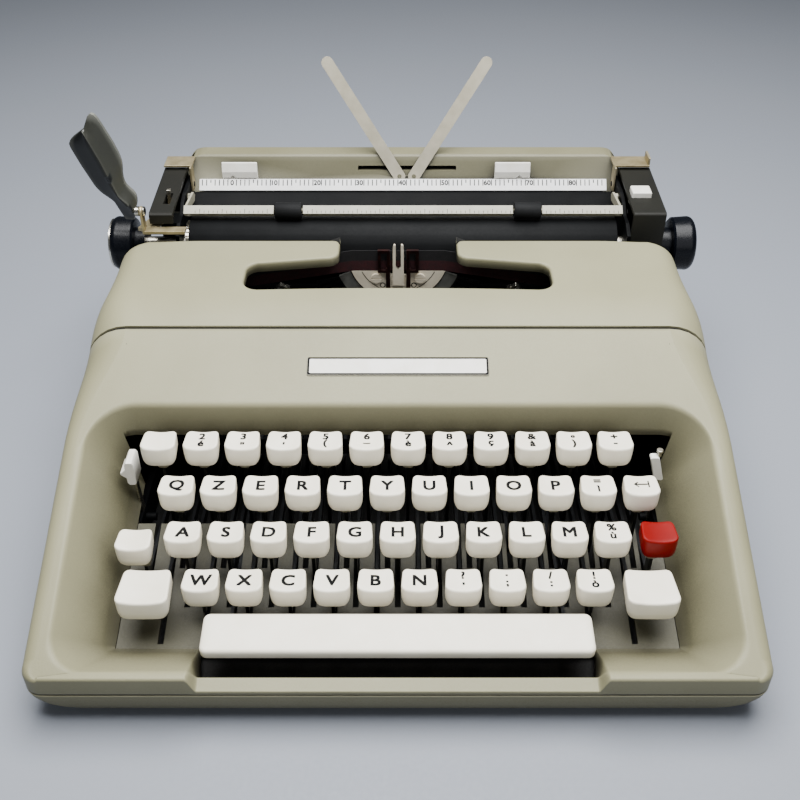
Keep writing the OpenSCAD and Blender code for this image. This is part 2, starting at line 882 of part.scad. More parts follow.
module margin_release_key() {
  key("ivory", -shift_pitches * pitch, row_y(3), row_z(3), cap_w, cap_d, -shift_pitches * pitch);
}

// The space bar with a socket for each of its two arms
module space_bar() {
  low = bar_z + bar_d / 2 * sin(bar_tilt) - bar_h * cos(bar_tilt);
  middle = bar_y + bar_d / 2;
  color("ivory") place() difference() {
    translate([0, bar_y, bar_z]) rotate([bar_tilt, 0, 0])
      rounded_block([-bar_len / 2, 0, -bar_h], [bar_len / 2, bar_d, 0], bar_corner_r);
    for (side = [-1, 1]) post_socket(side * bar_arm_x, middle, 0, low + post_in);
  }
  color("gray") place() for (side = [-1, 1]) difference() {
    union() {
      lever(side * bar_arm_x, middle, low, bar_arm_rise);
      translate([side * bar_arm_x - lever_t / 2, 0, 0])
        box([0, middle - post_d / 2, neck_z[0]], [lever_t, neck_y, neck_z[1]]);
    }
    box([-far, 0, 0], [far, neck_y - 2.5, neck_z[0]]);
  }
}

// A white tab on a thin stem that turns on a pin of the frame
module selector(x, tab_x0, tab_x1) {
  color("ivory") place() difference() {
    union() {
      side_extrude(x - 1, x + 1, [[selector_y - 3, selector_z], [selector_y + 3, selector_z],
        [selector_y, selector_top - 8], [selector_y - 4, selector_top - 8]]);
      x_cylinder(x - 1, x + 1, selector_y, selector_z, hub_r - 0.5);
      box([tab_x0, selector_y - 7, selector_top - 13], [tab_x1, selector_y - 2, selector_top]);
    }
    x_cylinder(x - 2, x + 2, selector_y, selector_z, selector_pin_r + run_gap);
  }
}

module left_selector() {
  selector(-selector_x, -130, -119.5);
}

module right_selector() {
  selector(selector_x, 115, 125);
}

// Carriage
module carriage_frame() {
  color("dimgray") on_carriage() difference() {
    union() {
      box([-plate_half, frame_front, frame_z], [plate_half, table_foot_y + 1, frame_z + 2]);
      box([-plate_half, table_foot_y, frame_z], [plate_half, table_foot_y + 2.5, table_foot_z]);
      for (side = [-1, 1]) {
        x = side > 0 ? plate_half : -plate_half - plate_t;
        side_extrude(x, x + plate_t, [[frame_front, frame_z], [frame_rear, frame_z], [frame_rear, plate_top],
          [282, plate_top], [274, 102], [267, tongue_z], [258, tongue_z], [frame_front, tongue_z - 4]]);
        box([side * shoe_x - shoe_half, track_y - 3, track_z + 0.5],
          [side * shoe_x + shoe_half, track_y + track_d + 3, frame_z + 1]);
        x_cylinder(side > 0 ? flange_x[0] - 0.3 : -plate_half - 0.5,
          side > 0 ? plate_half + 0.5 : 0.3 - flange_x[0], tab_y, tab_z, tab_pin_r);
      }
      box([-plate_half - 18, hand_pivot[1] - hand_r, tongue_z - 2],
        [-plate_half - 1, hand_pivot[1] + hand_r, tongue_z]);
      z_cylinder(hand_pivot[0], hand_pivot[1], tongue_z - 1, hand_z + hand_t + 1.2, stud_r);
    }
    x_cylinder(-far, far, platen_y, platen_z, shaft_r + run_gap);
    box([-far, track_y - run_gap, 0], [far, track_y + track_d + run_gap, track_z + track_h + run_gap]);
    for (x = [-plate_half, plate_half])
      x_cylinder(x - 5, x + 5, bail_pivot_y, bail_pivot_z, bail_pin_r + run_gap);
  }
}

// An end cover open towards its end plate
module end_cover(x0, x1, front_z) {
  inner = x0 > 0 ? [x0 - 1, x1 - wall] : [x0 + wall, x1 + 1];
  outline = [
    [end_y[0], front_z], [end_y[0], end_z[0] - 1], [end_y[0] + 1, end_z[0]], [end_y[1] - 2, end_z[1]],
    [end_y[1], end_z[1] - 2], [end_y[1], end_low], [end_step, end_low], [end_step, front_z]];
  hollow = [
    [end_y[0] + wall, front_z - 5], [end_y[0] + wall, end_z[0] - wall], [end_y[1] - wall, end_z[1] - wall],
    [end_y[1] - wall, end_low - 2], [end_step + wall, end_low - 2], [end_step + wall, front_z - 5]];
  color("dimgray") on_carriage() difference() {
    side_extrude(x0, x1, outline);
    side_extrude(inner[0], inner[1], hollow);
    x_cylinder(-far, far, platen_y, platen_z, 10);
    children();
  }
}

module left_end_cover() {
  end_cover(cover_x[0], -plate_half - plate_t, hand_z + hand_t + 1.6)
    box([slot_at[0][0], slot_at[0][1], button_z[0] - 1], [slot_at[1][0], slot_at[1][1], far]);
}

module right_end_cover() {
  end_cover(plate_half + plate_t, cover_x[1], end_low + 4)
    box([button_at[0][0] - button_gap, button_at[0][1] - button_gap, button_z[0] - 1],
      [button_at[1][0] + button_gap, button_at[1][1] + button_gap, far]);
}

module paper_table() {
  color("tan") on_carriage() difference() {
    intersection() {
      side_extrude(-table_half, table_half, [
        [table_foot_y, table_foot_z], [table_foot_y + 8.5, table_z - 1], [table_foot_y + 9.5, table_z],
        [table_rear - 2, table_z], [table_rear, table_z - 2], [table_rear - 3, table_low],
        [table_rear - 3 - wall, table_low], [table_rear - wall, table_z - wall],
        [table_foot_y + 11, table_z - wall], [table_foot_y + wall, table_foot_z]]);
      union() {
        box([-table_half + table_r, 0, 0], [table_half - table_r, far, far]);
        box([-table_half, 0, 0], [table_half, far, table_z - table_r]);
        for (x = [-1, 1])
          translate([x * (table_half - table_r), 0, table_z - table_r]) rotate([-90, 0, 0])
            cylinder(r = table_r, h = far);
      }
    }
    box([-27, 0, 104.5], [32, table_foot_y + 12, 107]);
  }
  color("silver") on_carriage() for (x = arm_x) at_arm(x) rotate([-90, 0, 0])
    translate([0, 0, -arm_t - arm_gap]) cylinder(r = arm_pin_r, h = arm_t + 2 * arm_gap + 1);
}

function table_face(z) = table_foot_y + (z - table_foot_z) * tan(table_lean) - 0.02;

module margin_scale() {
  c = ruler_w * cos(ruler_lean);
  s = ruler_w * sin(ruler_lean);
  color("white") on_carriage() side_extrude(-ruler_half, ruler_half, [
    [ruler_y, ruler_z], [ruler_y + c, ruler_z + s], [ruler_y + c + 0.7, ruler_z + s - 0.7],
    [ruler_y + 1.3, ruler_z], [table_face(ruler_z), ruler_z], [table_face(ruler_z - 0.9), ruler_z - 0.9],
    [ruler_y + 0.7, ruler_z - 0.9]]);
}

module paper_deflector() {
  color("dimgray") on_carriage() side_extrude(-plate_half + 0.2, plate_half - 0.2, [
    [deflector_y, frame_z + 2], [deflector_y + 1.2, frame_z + 2], [deflector_y + 1.2, table_foot_z],
    [ruler_y + 0.5, ruler_z - 2.1], [ruler_y + 0.5, ruler_z - 1], [deflector_y, table_foot_z + 1]]);
}

// A stop that slides behind the ruler, with a chamfered front and a notch that points at the scale
module margin_stop(x, notch_x) {
  head = ruler_z + 5.6;
  color("white") on_carriage() difference() {
    side_extrude(x - stop_w / 2, x + stop_w / 2, [
      [stop_y + 1.4, ruler_z + 0.2], [stop_y + 2.7, ruler_z + 0.2], [stop_y + 2.7, head],
      [stop_y + 3.2, head], [stop_y + 3.2, stop_top], [stop_y + 1.8, stop_top],
      [stop_y, stop_top - 5], [stop_y, head], [stop_y + 1.4, head]]);
    translate([x + notch_x, stop_y, head]) rotate([0, 45, 0]) cube([2.2, 2, 2.2], center = true);
  }
}

module left_margin_stop() {
  margin_stop(stop_x[0], -0.2 * stop_w);
}

module right_margin_stop() {
  margin_stop(stop_x[1], 0.2 * stop_w);
}

// Moves its children into the plane just in front of the paper table, with the foot pivot at z = 0
module at_arm(x) {
  translate([x, arm_foot_y, arm_pivot_z]) rotate([-table_lean, 0, 0]) children();
}

module paper_arm(x, side) {
  tip = arm_len - arm_w / 2;
  color("silver") on_carriage() at_arm(x) rotate([0, side * arm_angle, 0]) difference() {
    union() {
      box([-arm_w / 2, -arm_t, 0], [arm_w / 2, 0, tip]);
      for (z = [0, tip]) translate([0, 0, z]) rotate([90, 0, 0]) cylinder(r = arm_w / 2, h = arm_t);
    }
    rotate([90, 0, 0]) cylinder(r = arm_pin_r + run_gap, h = 3 * arm_t, center = true);
  }
}

module left_paper_arm() {
  paper_arm(arm_x[0], -1);
}

module right_paper_arm() {
  paper_arm(arm_x[1], 1);
}

// The bail: a rod with flat scale strips between the rollers, and an arm at each end
module paper_bail() {
  ends = plate_half - 2.2;
  clear = bail_roller_len / 2 + 0.8;
  left = bail_roller_x[0];
  right = bail_roller_x[1];
  strips = [[-ends, left - clear], [left + clear, right - clear], [right + clear, ends]];
  color("ivory") on_carriage() {
    x_cylinder(-ends, ends, bail_y, bail_z, bail_rod_r);
    for (s = strips)
      translate([0, bail_y, bail_z]) rotate([38, 0, 0]) box([s[0], -2.5, -1.7], [s[1], 2.5, 1.7]);
    for (side = [-1, 1]) {
      x = side > 0 ? ends - 1.2 : -ends;
      side_extrude(x, x + 1.2, [
        [bail_y - 1.5, bail_z - 1.5], [bail_y, bail_z + 2], [bail_pivot_y, bail_pivot_z + 3],
        [bail_pivot_y + 3, bail_pivot_z], [bail_pivot_y, bail_pivot_z - 2.5]]);
      x_cylinder(side > 0 ? x : -plate_half - 1, side > 0 ? plate_half + 1 : x + 1.2,
        bail_pivot_y, bail_pivot_z, bail_pin_r);
    }
  }
}

module bail_rollers() {
  color("dimgray") on_carriage() for (x = bail_roller_x) difference() {
    x_cylinder(x - bail_roller_len / 2, x + bail_roller_len / 2, bail_y, bail_z, bail_roller_r);
    x_cylinder(x - 20, x + 20, bail_y, bail_z, bail_rod_r + run_gap);
  }
}

module platen() {
  color("dimgray") on_carriage() difference() {
    x_cylinder(-platen_half, platen_half, platen_y, platen_z, platen_r);
    x_cylinder(-far, far, platen_y, platen_z, shaft_r + 0.01);
  }
}

module platen_shaft() {
  color("silver") on_carriage() x_cylinder(-knob_x + 6, knob_x - 6, platen_y, platen_z, shaft_r);
}

// A knob turned from a profile, with a neck towards the carriage and a round outer edge
module knob() {
  bore = shaft_r + 0.01;
  rotate_extrude() difference() {
    union() {
      polygon([[bore, -19], [9, -19], [9, -13.4], [knob_r - 1.6, -13], [knob_r - 0.6, -12],
        [knob_r, -knob_edge_r], [bore, -knob_edge_r]]);
      translate([0, -knob_edge_r]) square([knob_r - knob_edge_r, knob_edge_r]);
      intersection() {
        translate([knob_r - knob_edge_r, -knob_edge_r]) circle(r = knob_edge_r);
        translate([shaft_r, -knob_edge_r - 0.1]) square([2 * knob_r, knob_r]);
      }
    }
    translate([-1, -30]) square([bore + 1, 24.2]);
    translate([-20, -40]) square([20, 80]);
  }
}

module left_knob() {
  color("midnightblue") on_carriage()
    translate([-knob_x, platen_y, platen_z]) rotate([0, -90, 0]) knob();
}

module right_knob() {
  color("midnightblue") on_carriage()
    translate([knob_x, platen_y, platen_z]) rotate([0, 90, 0]) knob();
}

module ratchet_wheel() {
  teeth = 32;
  r = 13;
  color("silver") on_carriage()
    translate([-platen_half - 2.4, platen_y, platen_z]) rotate([0, 90, 0]) difference() {
      cylinder(r = r, h = 2);
      translate([0, 0, -1]) cylinder(r = shaft_r + 0.01, h = 5);
      for (i = [0 : teeth - 1]) rotate(i * 360 / teeth) translate([r - 1, -0.6, -1]) cube([3, 1.2, 5]);
    }
}

// The metal arm that the return lever turns the platen with: a strip along the front and an upright ear
module line_space_arm() {
  d = hand_end - hand_pivot;
  front = hand_end[1] - ear_r;
  color("silver") on_carriage() difference() {
    union() {
      z_cylinder(hand_pivot[0], hand_pivot[1], hand_z, hand_z + hand_t, hand_r);
      translate([hand_pivot[0], hand_pivot[1], hand_z]) rotate(atan2(d[1], d[0]))
        translate([0, -hand_w / 2, 0]) cube([norm(d), hand_w, hand_t]);
      box([ear_x[0], front, hand_z], [strip_x, front + 2 * ear_r, hand_z + hand_t]);
      box([ear_x[0], front, hand_z], [ear_x[1], front + 2 * ear_r, lever_z]);
      x_cylinder(ear_x[0], ear_x[1], hand_end[1], lever_z, ear_r);
    }
    z_cylinder(hand_pivot[0], hand_pivot[1], 0, far, stud_r + run_gap);
    x_cylinder(-far, 0, hand_end[1], lever_z, ear_pin_r + run_gap);
  }
}

// The return lever with its pin, a spacer and a head on either side of the ear
module return_lever() {
  x = hand_end[0];
  y = hand_end[1];
  color("dimgray") on_carriage() {
    translate([x, y + lever_d / 2, lever_z]) rotate([90, 0, 0]) linear_extrude(lever_d) polygon(PADDLE);
    x_cylinder(x - 6, ear_x[1] + 1.4, y, lever_z, ear_pin_r);
    x_cylinder(x - 4, ear_x[0] - 0.2, y, lever_z, ear_r);
    x_cylinder(ear_x[1] + 0.2, ear_x[1] + 1.4, y, lever_z, ear_r);
  }
}

// A bent metal tab that turns on a pin of the end plate
module release_tab(side, outer, lip) {
  color("gray") on_carriage() mirror([side < 0 ? 1 : 0, 0, 0]) difference() {
    union() {
      box([flange_x[0], flange_y[0], tab_z - 3.2], [flange_x[1], flange_y[1], tab_top[1]]);
      box([flange_x[0], tab_y, tab_top[0]], [outer, tab_y + tab_d, tab_top[1]]);
      box([outer - 1.2, tab_y + 0.5, tab_top[0]], [outer, tab_y + tab_d - 2, lip]);
    }
    x_cylinder(0, flange_x[1] + 1, tab_y, tab_z, tab_pin_r + run_gap);
  }
}

module paper_release_lever() {
  release_tab(1, tab_end[1], tab_lip_z);
}

module left_release_lever() {
  release_tab(-1, tab_end[0], tab_top[1]);
}

module release_button() {
  color("ivory") on_carriage()
    box([button_at[0][0], button_at[0][1], button_z[0]], [button_at[1][0], button_at[1][1], button_z[1]]);
}

module line_space_selector() {
  color("silver") on_carriage()
    box([pin_at[0][0], pin_at[0][1], button_z[0]], [pin_at[1][0], pin_at[1][1], button_z[1] + 1]);
}

base_pan();
rubber_feet();
upper_housing();
name_plate();
key_floor();
ribbon_cover();
chassis_frame();
fulcrum_shaft();
carriage_rail();
mainspring_drum();
ribbon_platforms();
left_ribbon_spool();
right_ribbon_spool();
ink_ribbon();
ribbon_vibrator();
type_segment();
segment_screws();
typebars();
type_guide();
centre_typebar();
carriage_frame();
left_end_cover();
right_end_cover();
paper_table();
margin_scale();
paper_deflector();
left_margin_stop();
right_margin_stop();
left_paper_arm();
right_paper_arm();
paper_bail();
bail_rollers();
platen();
platen_shaft();
left_knob();
right_knob();
ratchet_wheel();
line_space_arm();
return_lever();
paper_release_lever();
left_release_lever();
release_button();
line_space_selector();
number_row_caps();
number_row_levers();
upper_row_caps();
upper_row_levers();
home_row_caps();
home_row_levers();
lower_row_caps();
lower_row_levers();
centre_key();
space_bar();
shift_keys();
shift_lock_key();
backspace_key();
tab_key();
margin_release_key();
left_selector();
right_selector();
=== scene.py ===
"""Dresses the portable typewriter: moulded case, keys with legends, type basket, ribbon and carriage."""
import logging
import math
from dataclasses import dataclass
from enum import Enum
from typing import Callable, Iterable, Optional, Sequence, Union

import bmesh
import bpy
from mathutils import Matrix, Vector


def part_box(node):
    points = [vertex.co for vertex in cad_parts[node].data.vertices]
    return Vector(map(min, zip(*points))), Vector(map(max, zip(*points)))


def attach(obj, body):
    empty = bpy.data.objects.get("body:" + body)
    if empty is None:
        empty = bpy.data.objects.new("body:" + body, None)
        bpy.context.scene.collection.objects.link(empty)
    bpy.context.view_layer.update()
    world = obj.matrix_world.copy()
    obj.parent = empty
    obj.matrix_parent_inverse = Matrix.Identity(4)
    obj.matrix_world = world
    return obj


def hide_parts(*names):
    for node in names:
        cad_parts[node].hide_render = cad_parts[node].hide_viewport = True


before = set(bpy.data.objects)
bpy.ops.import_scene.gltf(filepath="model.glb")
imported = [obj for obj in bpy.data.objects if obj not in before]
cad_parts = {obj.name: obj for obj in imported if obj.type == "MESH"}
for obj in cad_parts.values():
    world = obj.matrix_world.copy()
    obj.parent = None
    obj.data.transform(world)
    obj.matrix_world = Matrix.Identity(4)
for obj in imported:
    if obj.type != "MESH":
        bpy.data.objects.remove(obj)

LOG = logging.getLogger("typewriter")
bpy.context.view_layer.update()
MM = 0.001
GRIME_SPOT = 2.2
CENTRE_X = (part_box("base_pan")[0].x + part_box("base_pan")[1].x) / 2
FRONT_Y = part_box("base_pan")[0].y
CARRIAGE_X = ((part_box("platen")[0].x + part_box("platen")[1].x) / 2 - CENTRE_X) / MM
Point = tuple[float, float, float]
Flat = tuple[float, float]
Row = list[Point]
Tone = Union[bpy.types.NodeSocket, tuple[float, float, float, float]]


def place(point: Sequence[float]) -> Vector:
    """Turns a point in millimetres, from the middle of the case's front, into the shared frame in metres."""
    return Vector((CENTRE_X + point[0] * MM, FRONT_Y + point[1] * MM, point[2] * MM))


def mix(a: float, b: float, t: float) -> float:
    """The value at share t of the way from a to b."""
    return a + (b - a) * t


def ease(t: float) -> float:
    """A smooth step from 0 to 1 as t goes from 0 to 1."""
    t = min(1.0, max(0.0, t))
    return t * t * (3 - 2 * t)


def spread(low: float, high: float, count: int) -> list[float]:
    """Evenly spaced values.

    Args:
        low: The first value.
        high: The last value.
        count: How many values, both ends included.

    Returns:
        The list of values.
    """
    return [mix(low, high, i / (count - 1)) for i in range(count)]


def arc(centre: Flat, radius: float, start: float, end: float, count: int) -> list[Flat]:
    """Points on an arc.

    Args:
        centre: The middle of the circle.
        radius: Its radius.
        start: The first angle in degrees.
        end: The last angle in degrees.
        count: How many points, both ends included.

    Returns:
        The points in order.
    """
    angles = [math.radians(a) for a in spread(start, end, count)]
    return [(centre[0] + radius * math.cos(a), centre[1] + radius * math.sin(a)) for a in angles]


def along(points: Sequence[Flat], count: int) -> list[Flat]:
    """Spaces points evenly by length along a polyline.

    Args:
        points: The corners of the line.
        count: How many points to give.

    Returns:
        The evenly spaced points, both ends included.
    """
    lengths = [0.0]
    for a, b in zip(points, points[1:]):
        lengths.append(lengths[-1] + math.dist(a, b))
    result = []
    leg = 0
    for target in spread(0.0, lengths[-1], count):
        while leg < len(points) - 2 and lengths[leg + 1] < target:
            leg += 1
        share = (target - lengths[leg]) / max(1e-9, lengths[leg + 1] - lengths[leg])
        a, b = points[leg], points[leg + 1]
        result.append((mix(a[0], b[0], share), mix(a[1], b[1], share)))
    return result


def rounded_rectangle(low: Flat, high: Flat, radius: float, steps: int = 6) -> list[Flat]:
    """The outline of a rectangle with round corners, counter-clockwise.

    Args:
        low: The corner with the lowest values.
        high: The corner with the highest values.
        radius: The corner radius.
        steps: Points on each corner.

    Returns:
        The points of the closed outline.
    """
    outline: list[Flat] = []
    corners = [(high[0], low[1], 270), (high[0], high[1], 0), (low[0], high[1], 90), (low[0], low[1], 180)]
    for x, y, angle in corners:
        centre = (x - math.copysign(radius, x - low[0] - 1e-6), y - math.copysign(radius, y - low[1] - 1e-6))
        outline += arc(centre, radius, angle, angle + 90, steps)
    return outline


def rectangle(low: Flat, high: Flat) -> list[Flat]:
    """The four corners of a rectangle, counter-clockwise from the lowest."""
    return [low, (high[0], low[1]), high, (low[0], high[1])]


def flipped(points: Iterable[Flat], side: int = -1) -> list[Flat]:
    """The points on one side: -1 mirrors them in the middle plane, 1 leaves them."""
    return [(side * x, other) for x, other in points]


def leaning(at: Point, angle: float) -> Matrix:
    """A turn about x by an angle in radians, then a move in millimetres."""
    return Matrix.Translation(at) @ Matrix.Rotation(angle, 4, "X")


def linear(code: str) -> tuple[float, float, float, float]:
    """Turns an sRGB hex colour such as #C8C4B0 into linear RGBA."""
    parts = [int(code[i:i + 2], 16) / 255 for i in (1, 3, 5)]
    return (*[p / 12.92 if p <= 0.04045 else ((p + 0.055) / 1.055) ** 2.4 for p in parts], 1.0)


def add_node(tree: bpy.types.NodeTree, kind: str, inputs: Optional[dict] = None,
             **settings) -> bpy.types.Node:
    """Adds a node with its settings and links.

    Args:
        tree: The tree that gets the node.
        kind: The node's type name.
        inputs: Values for its sockets, or the output sockets that are linked to them.
        **settings: Attributes of the node.

    Returns:
        The new node.
    """
    node = tree.nodes.new(kind)
    for name, value in settings.items():
        setattr(node, name, value)
    for socket, value in (inputs or {}).items():
        if isinstance(value, bpy.types.NodeSocket):
            tree.links.new(value, node.inputs[socket])
        else:
            node.inputs[socket].default_value = value
    return node


def ranged(tree: bpy.types.NodeTree, value: bpy.types.NodeSocket, low: float, high: float,
           most: float = 1.0) -> bpy.types.NodeSocket:
    """Stretches a value.

    Args:
        tree: The tree that gets the node.
        value: The socket that gives the value.
        low: The value that becomes 0.
        high: The value that becomes the most.
        most: The largest result.

    Returns:
        The socket that gives the result.
    """
    return add_node(tree, "ShaderNodeMapRange", {
        "Value": value, "From Min": low, "From Max": high, "To Max": most}).outputs[0]


def blend(tree: bpy.types.NodeTree, share: bpy.types.NodeSocket, first: Tone,
          second: Tone) -> bpy.types.NodeSocket:
    """Mixes two tones by a share and gives the socket of the result."""
    inputs = {0: share, 6: first, 7: second}
    return add_node(tree, "ShaderNodeMix", inputs, data_type="RGBA").outputs[2]


class Relief(Enum):
    """How a surface was made, which gives the direction of its fine relief."""

    GRAINED = (1.0, 1.0, 1.0)
    BRUSHED_X = (0.03, 1.0, 1.0)
    BRUSHED_Z = (1.0, 1.0, 0.04)


@dataclass(frozen=True)
class Finish:
    """The look of one material; lengths are in millimetres."""

    name: str
    colour: str
    shade: str
    roughness: float
    mottle: float = 30.0
    unevenness: float = 0.06
    grain: float = 0.9
    depth: float = 0.02
    relief: Relief = Relief.GRAINED
    metallic: float = 0.0
    ior: float = 1.5
    # Lighter colour on convex edges: rubbed edges on most finishes, a painted highlight on the rim of the
    # paper table.
    wear: str = ""
    wear_share: float = 0.5
    grime: str = ""
    grime_share: float = 0.0
    # Colour of painted shade in hollows, laid on by ambient occlusion within reach millimetres.
    recess: str = ""
    reach: float = 40.0

    def material(self) -> bpy.types.Material:
        """Makes the material once and gives it again on later calls."""
        known = bpy.data.materials.get(self.name)
        if known:
            return known
        made = bpy.data.materials.new(self.name)
        made.use_nodes = True
        tree = made.node_tree
        tree.nodes.clear()
        where = add_node(tree, "ShaderNodeTexCoord").outputs["Object"]
        fine = add_node(tree, "ShaderNodeMapping", {"Vector": where, "Scale": self.relief.value})
        blotches = add_node(tree, "ShaderNodeTexNoise",
                            {"Vector": where, "Scale": 1 / (self.mottle * MM), "Detail": 4.0})
        grain = add_node(tree, "ShaderNodeTexNoise",
                         {"Vector": fine.outputs[0], "Scale": 1 / (self.grain * MM), "Detail": 3.0})
        colour = self.tint(tree, where, blotches.outputs["Fac"])
        rough = add_node(tree, "ShaderNodeMapRange", {
            "Value": grain.outputs["Fac"], "From Min": 0.3, "From Max": 0.7,
            "To Min": max(0.02, self.roughness - self.unevenness),
            "To Max": min(1.0, self.roughness + self.unevenness)})
        bump = add_node(tree, "ShaderNodeBump",
                        {"Height": grain.outputs["Fac"], "Strength": 1.0, "Distance": self.depth * MM})
        shader = add_node(tree, "ShaderNodeBsdfPrincipled", {
            "Base Color": colour, "Roughness": rough.outputs[0], "Normal": bump.outputs[0],
            "Metallic": self.metallic})
        if self.metallic == 0.0:
            shader.inputs["IOR"].default_value = self.ior
        add_node(tree, "ShaderNodeOutputMaterial", {"Surface": shader.outputs[0]})
        return made

    def tint(self, tree: bpy.types.NodeTree, where: bpy.types.NodeSocket,
             blotches: bpy.types.NodeSocket) -> bpy.types.NodeSocket:
        """Builds the colour: two tones in blotches, then grime, painted shade in recesses from ambient
        occlusion, and lighter edges, rubbed on most finishes and a painted highlight on the paper table.

        Args:
            tree: The material's tree.
            where: The coordinates of the surface.
            blotches: The slow pattern that mixes the two tones.

        Returns:
            The socket that gives the colour.
        """
        tone = blend(tree, ranged(tree, blotches, 0.35, 0.65), linear(self.colour), linear(self.shade))
        if self.grime:
            spots = add_node(tree, "ShaderNodeTexNoise", {
                "Vector": where, "Scale": 1 / (GRIME_SPOT * MM), "Detail": 6.0, "Roughness": 0.7})
            cover = ranged(tree, spots.outputs["Fac"], 0.62, 0.78, self.grime_share)
            tone = blend(tree, cover, tone, linear(self.grime))
        # Painted shade: the colour turns towards the recess colour where other surfaces are near.
        if self.recess:
            sky = add_node(tree, "ShaderNodeAmbientOcclusion", {"Distance": self.reach * MM}, samples=8)
            clear = ranged(tree, sky.outputs["AO"], 0.3, 0.85)
            tone = blend(tree, clear, linear(self.recess), tone)
        # Lighter convex edges: rubbed edges, and on the paper table a painted highlight.
        if self.wear:
            edges = add_node(tree, "ShaderNodeNewGeometry").outputs["Pointiness"]
            tone = blend(tree, ranged(tree, edges, 0.53, 0.62, self.wear_share), tone, linear(self.wear))
        return tone


# Moulded ABS with a fine spark-eroded grain: a matt, slightly warm grey that breaks up highlights.
# The real grain is about 0.3 mm and is drawn at 0.8 mm so that it shows.
# Its recess colour is painted shade, darkening the walls of the key well and the other hollows.
CASE_ABS = Finish("greige moulded ABS", "#8C896C", "#858265", 0.55, mottle=60, grain=0.8, depth=0.05,
                  wear="#9E9B84", wear_share=0.5, grime="#67634F", grime_share=0.25,
                  recess="#3A3727", reach=75.0)
# Paint on the steel of the paper table, which is really the case's colour: painted darker as shade on its
# face, with a painted highlight on its edges and painted shade in its hollows.
TABLE_SHADE_AND_HIGHLIGHT_PAINT = Finish("greige enamel with painted shade and highlight", "#726F57", "#6B684F", 0.5, mottle=40, grain=0.9, depth=0.02,
                     wear="#A09D88", wear_share=1.0, recess="#0E0D08", reach=120.0)
# The same ABS on the plate under the keys, with spots of dust, painted darker and greener as the shade under
# the keys, and with painted shade in its hollows.
SHADED_FLOOR_ABS = Finish("dusty greige ABS in painted shade", "#67644F", "#5A5744", 0.62, mottle=18, grain=0.8, depth=0.04,
                   grime="#3A3728", grime_share=0.5, recess="#2C2A1D")
# Double-shot moulded key plastic, semi-gloss and faintly yellowed, with fine scuffs.
KEY_PLASTIC = Finish("white moulded key plastic", "#FAF4E2", "#F4EDD9", 0.34, mottle=14, grain=1.4,
                     depth=0.008, grime="#BBB49E", grime_share=0.25)
# Red moulded key plastic, glossier than the white one.
RED_PLASTIC = Finish("red moulded key plastic", "#7A0000", "#720000", 0.42, mottle=12, grain=1.4, depth=0.008,
                     ior=1.25)
# Unpainted peg under a cap, greyed by handling.
PEG_PLASTIC = Finish("greyed plastic peg", "#96927F", "#868270", 0.5, mottle=6, grain=0.8)
# Printed black ink, matt and dense.
INK = Finish("black printing ink", "#030304", "#050506", 0.6, mottle=4, grain=0.5, depth=0.002, ior=1.2)
# Dark moulded ABS of the carriage ends, with a fine grain and rubbed edges.
DARK_ABS = Finish("charcoal moulded ABS", "#1B1B17", "#171715", 0.5, mottle=25, grain=0.7, depth=0.04,
                  wear="#3A3933", wear_share=0.5, grime="#2C2B26", grime_share=0.3, ior=1.25)
# Stoved charcoal enamel on the bent sheet of the return lever, with a low sheen and rubbed edges; this lighter
# copy is painted light for the half that faces the light.
LEVER_LIT_ENAMEL = Finish("charcoal stoved enamel, painted lit side", "#34352F", "#2D2E29", 0.36, mottle=18, grain=0.9, depth=0.01,
                      wear="#7E7F78", wear_share=0.7)
# The same enamel painted much darker as painted shade for the half of the return lever that faces away from
# the light, with dimmer rubbed edges.
LEVER_SHADE = Finish("charcoal enamel, painted shade side", "#0F1110", "#0B0C0C", 0.36, mottle=18, grain=0.9, depth=0.01,
                     wear="#55564F", wear_share=0.6)
# Blue-black phenolic knobs, polished by hand.
KNOB_PHENOLIC = Finish("blue-black phenolic", "#05070C", "#06080E", 0.3, mottle=14, grain=1.0, depth=0.002,
                       ior=1.3)
# Ground rubber of the platen: dark, slightly dusty, with tiny dents from the type.
PLATEN_RUBBER = Finish("ground platen rubber", "#0C0D0E", "#111213", 0.6, mottle=22, grain=1.1, depth=0.05,
                       grime="#1C1E1E", grime_share=0.5, ior=1.18)
# Soft black rubber of rollers and feet.
SOFT_RUBBER = Finish("soft black rubber", "#0D0E0F", "#121314", 0.7, mottle=8, grain=0.6, depth=0.03,
                     ior=1.25)
# Nickel-plated sheet steel, brushed along its length.
NICKEL = Finish("brushed nickel plate", "#C9C5B8", "#B9B4A6", 0.3, mottle=10, grain=0.35, depth=0.006,
                relief=Relief.BRUSHED_X, metallic=1.0)
# Satin-plated paper arms: pale, warm and softly streaked along their length.
SATIN_STEEL = Finish("satin-plated steel", "#B4AE9C", "#A9A390", 0.5, mottle=6, grain=0.4, depth=0.004,
                     relief=Relief.BRUSHED_Z, metallic=0.55)
# Bright nickel on small upright pieces, brushed up and down.
BRIGHT_NICKEL = Finish("bright nickel plate", "#D9D6CC", "#C8C4B8", 0.22, mottle=8, grain=0.35, depth=0.004,
                       relief=Relief.BRUSHED_Z, metallic=1.0)
# Browned bare steel of the bent tabs, with rubbed bright edges.
BROWN_STEEL = Finish("browned spring steel", "#B3A682", "#998C69", 0.45, mottle=5, grain=0.4, depth=0.01,
                     metallic=0.8, wear="#C9C0A8", wear_share=0.7)
# Blackened steel of levers and type bars, oily and dark.
BLACK_STEEL = Finish("blackened steel", "#3A3B3C", "#2E2F31", 0.38, mottle=8, grain=0.4, depth=0.01,
                     metallic=1.0)
# Satin zinc-plated steel of the type segment.
SEGMENT_STEEL = Finish("satin zinc-plated steel", "#E6DDC8", "#D8CEB8", 0.42, mottle=9, grain=0.5,
                       depth=0.008, metallic=0.15, grime="#8E8570", grime_share=0.4)
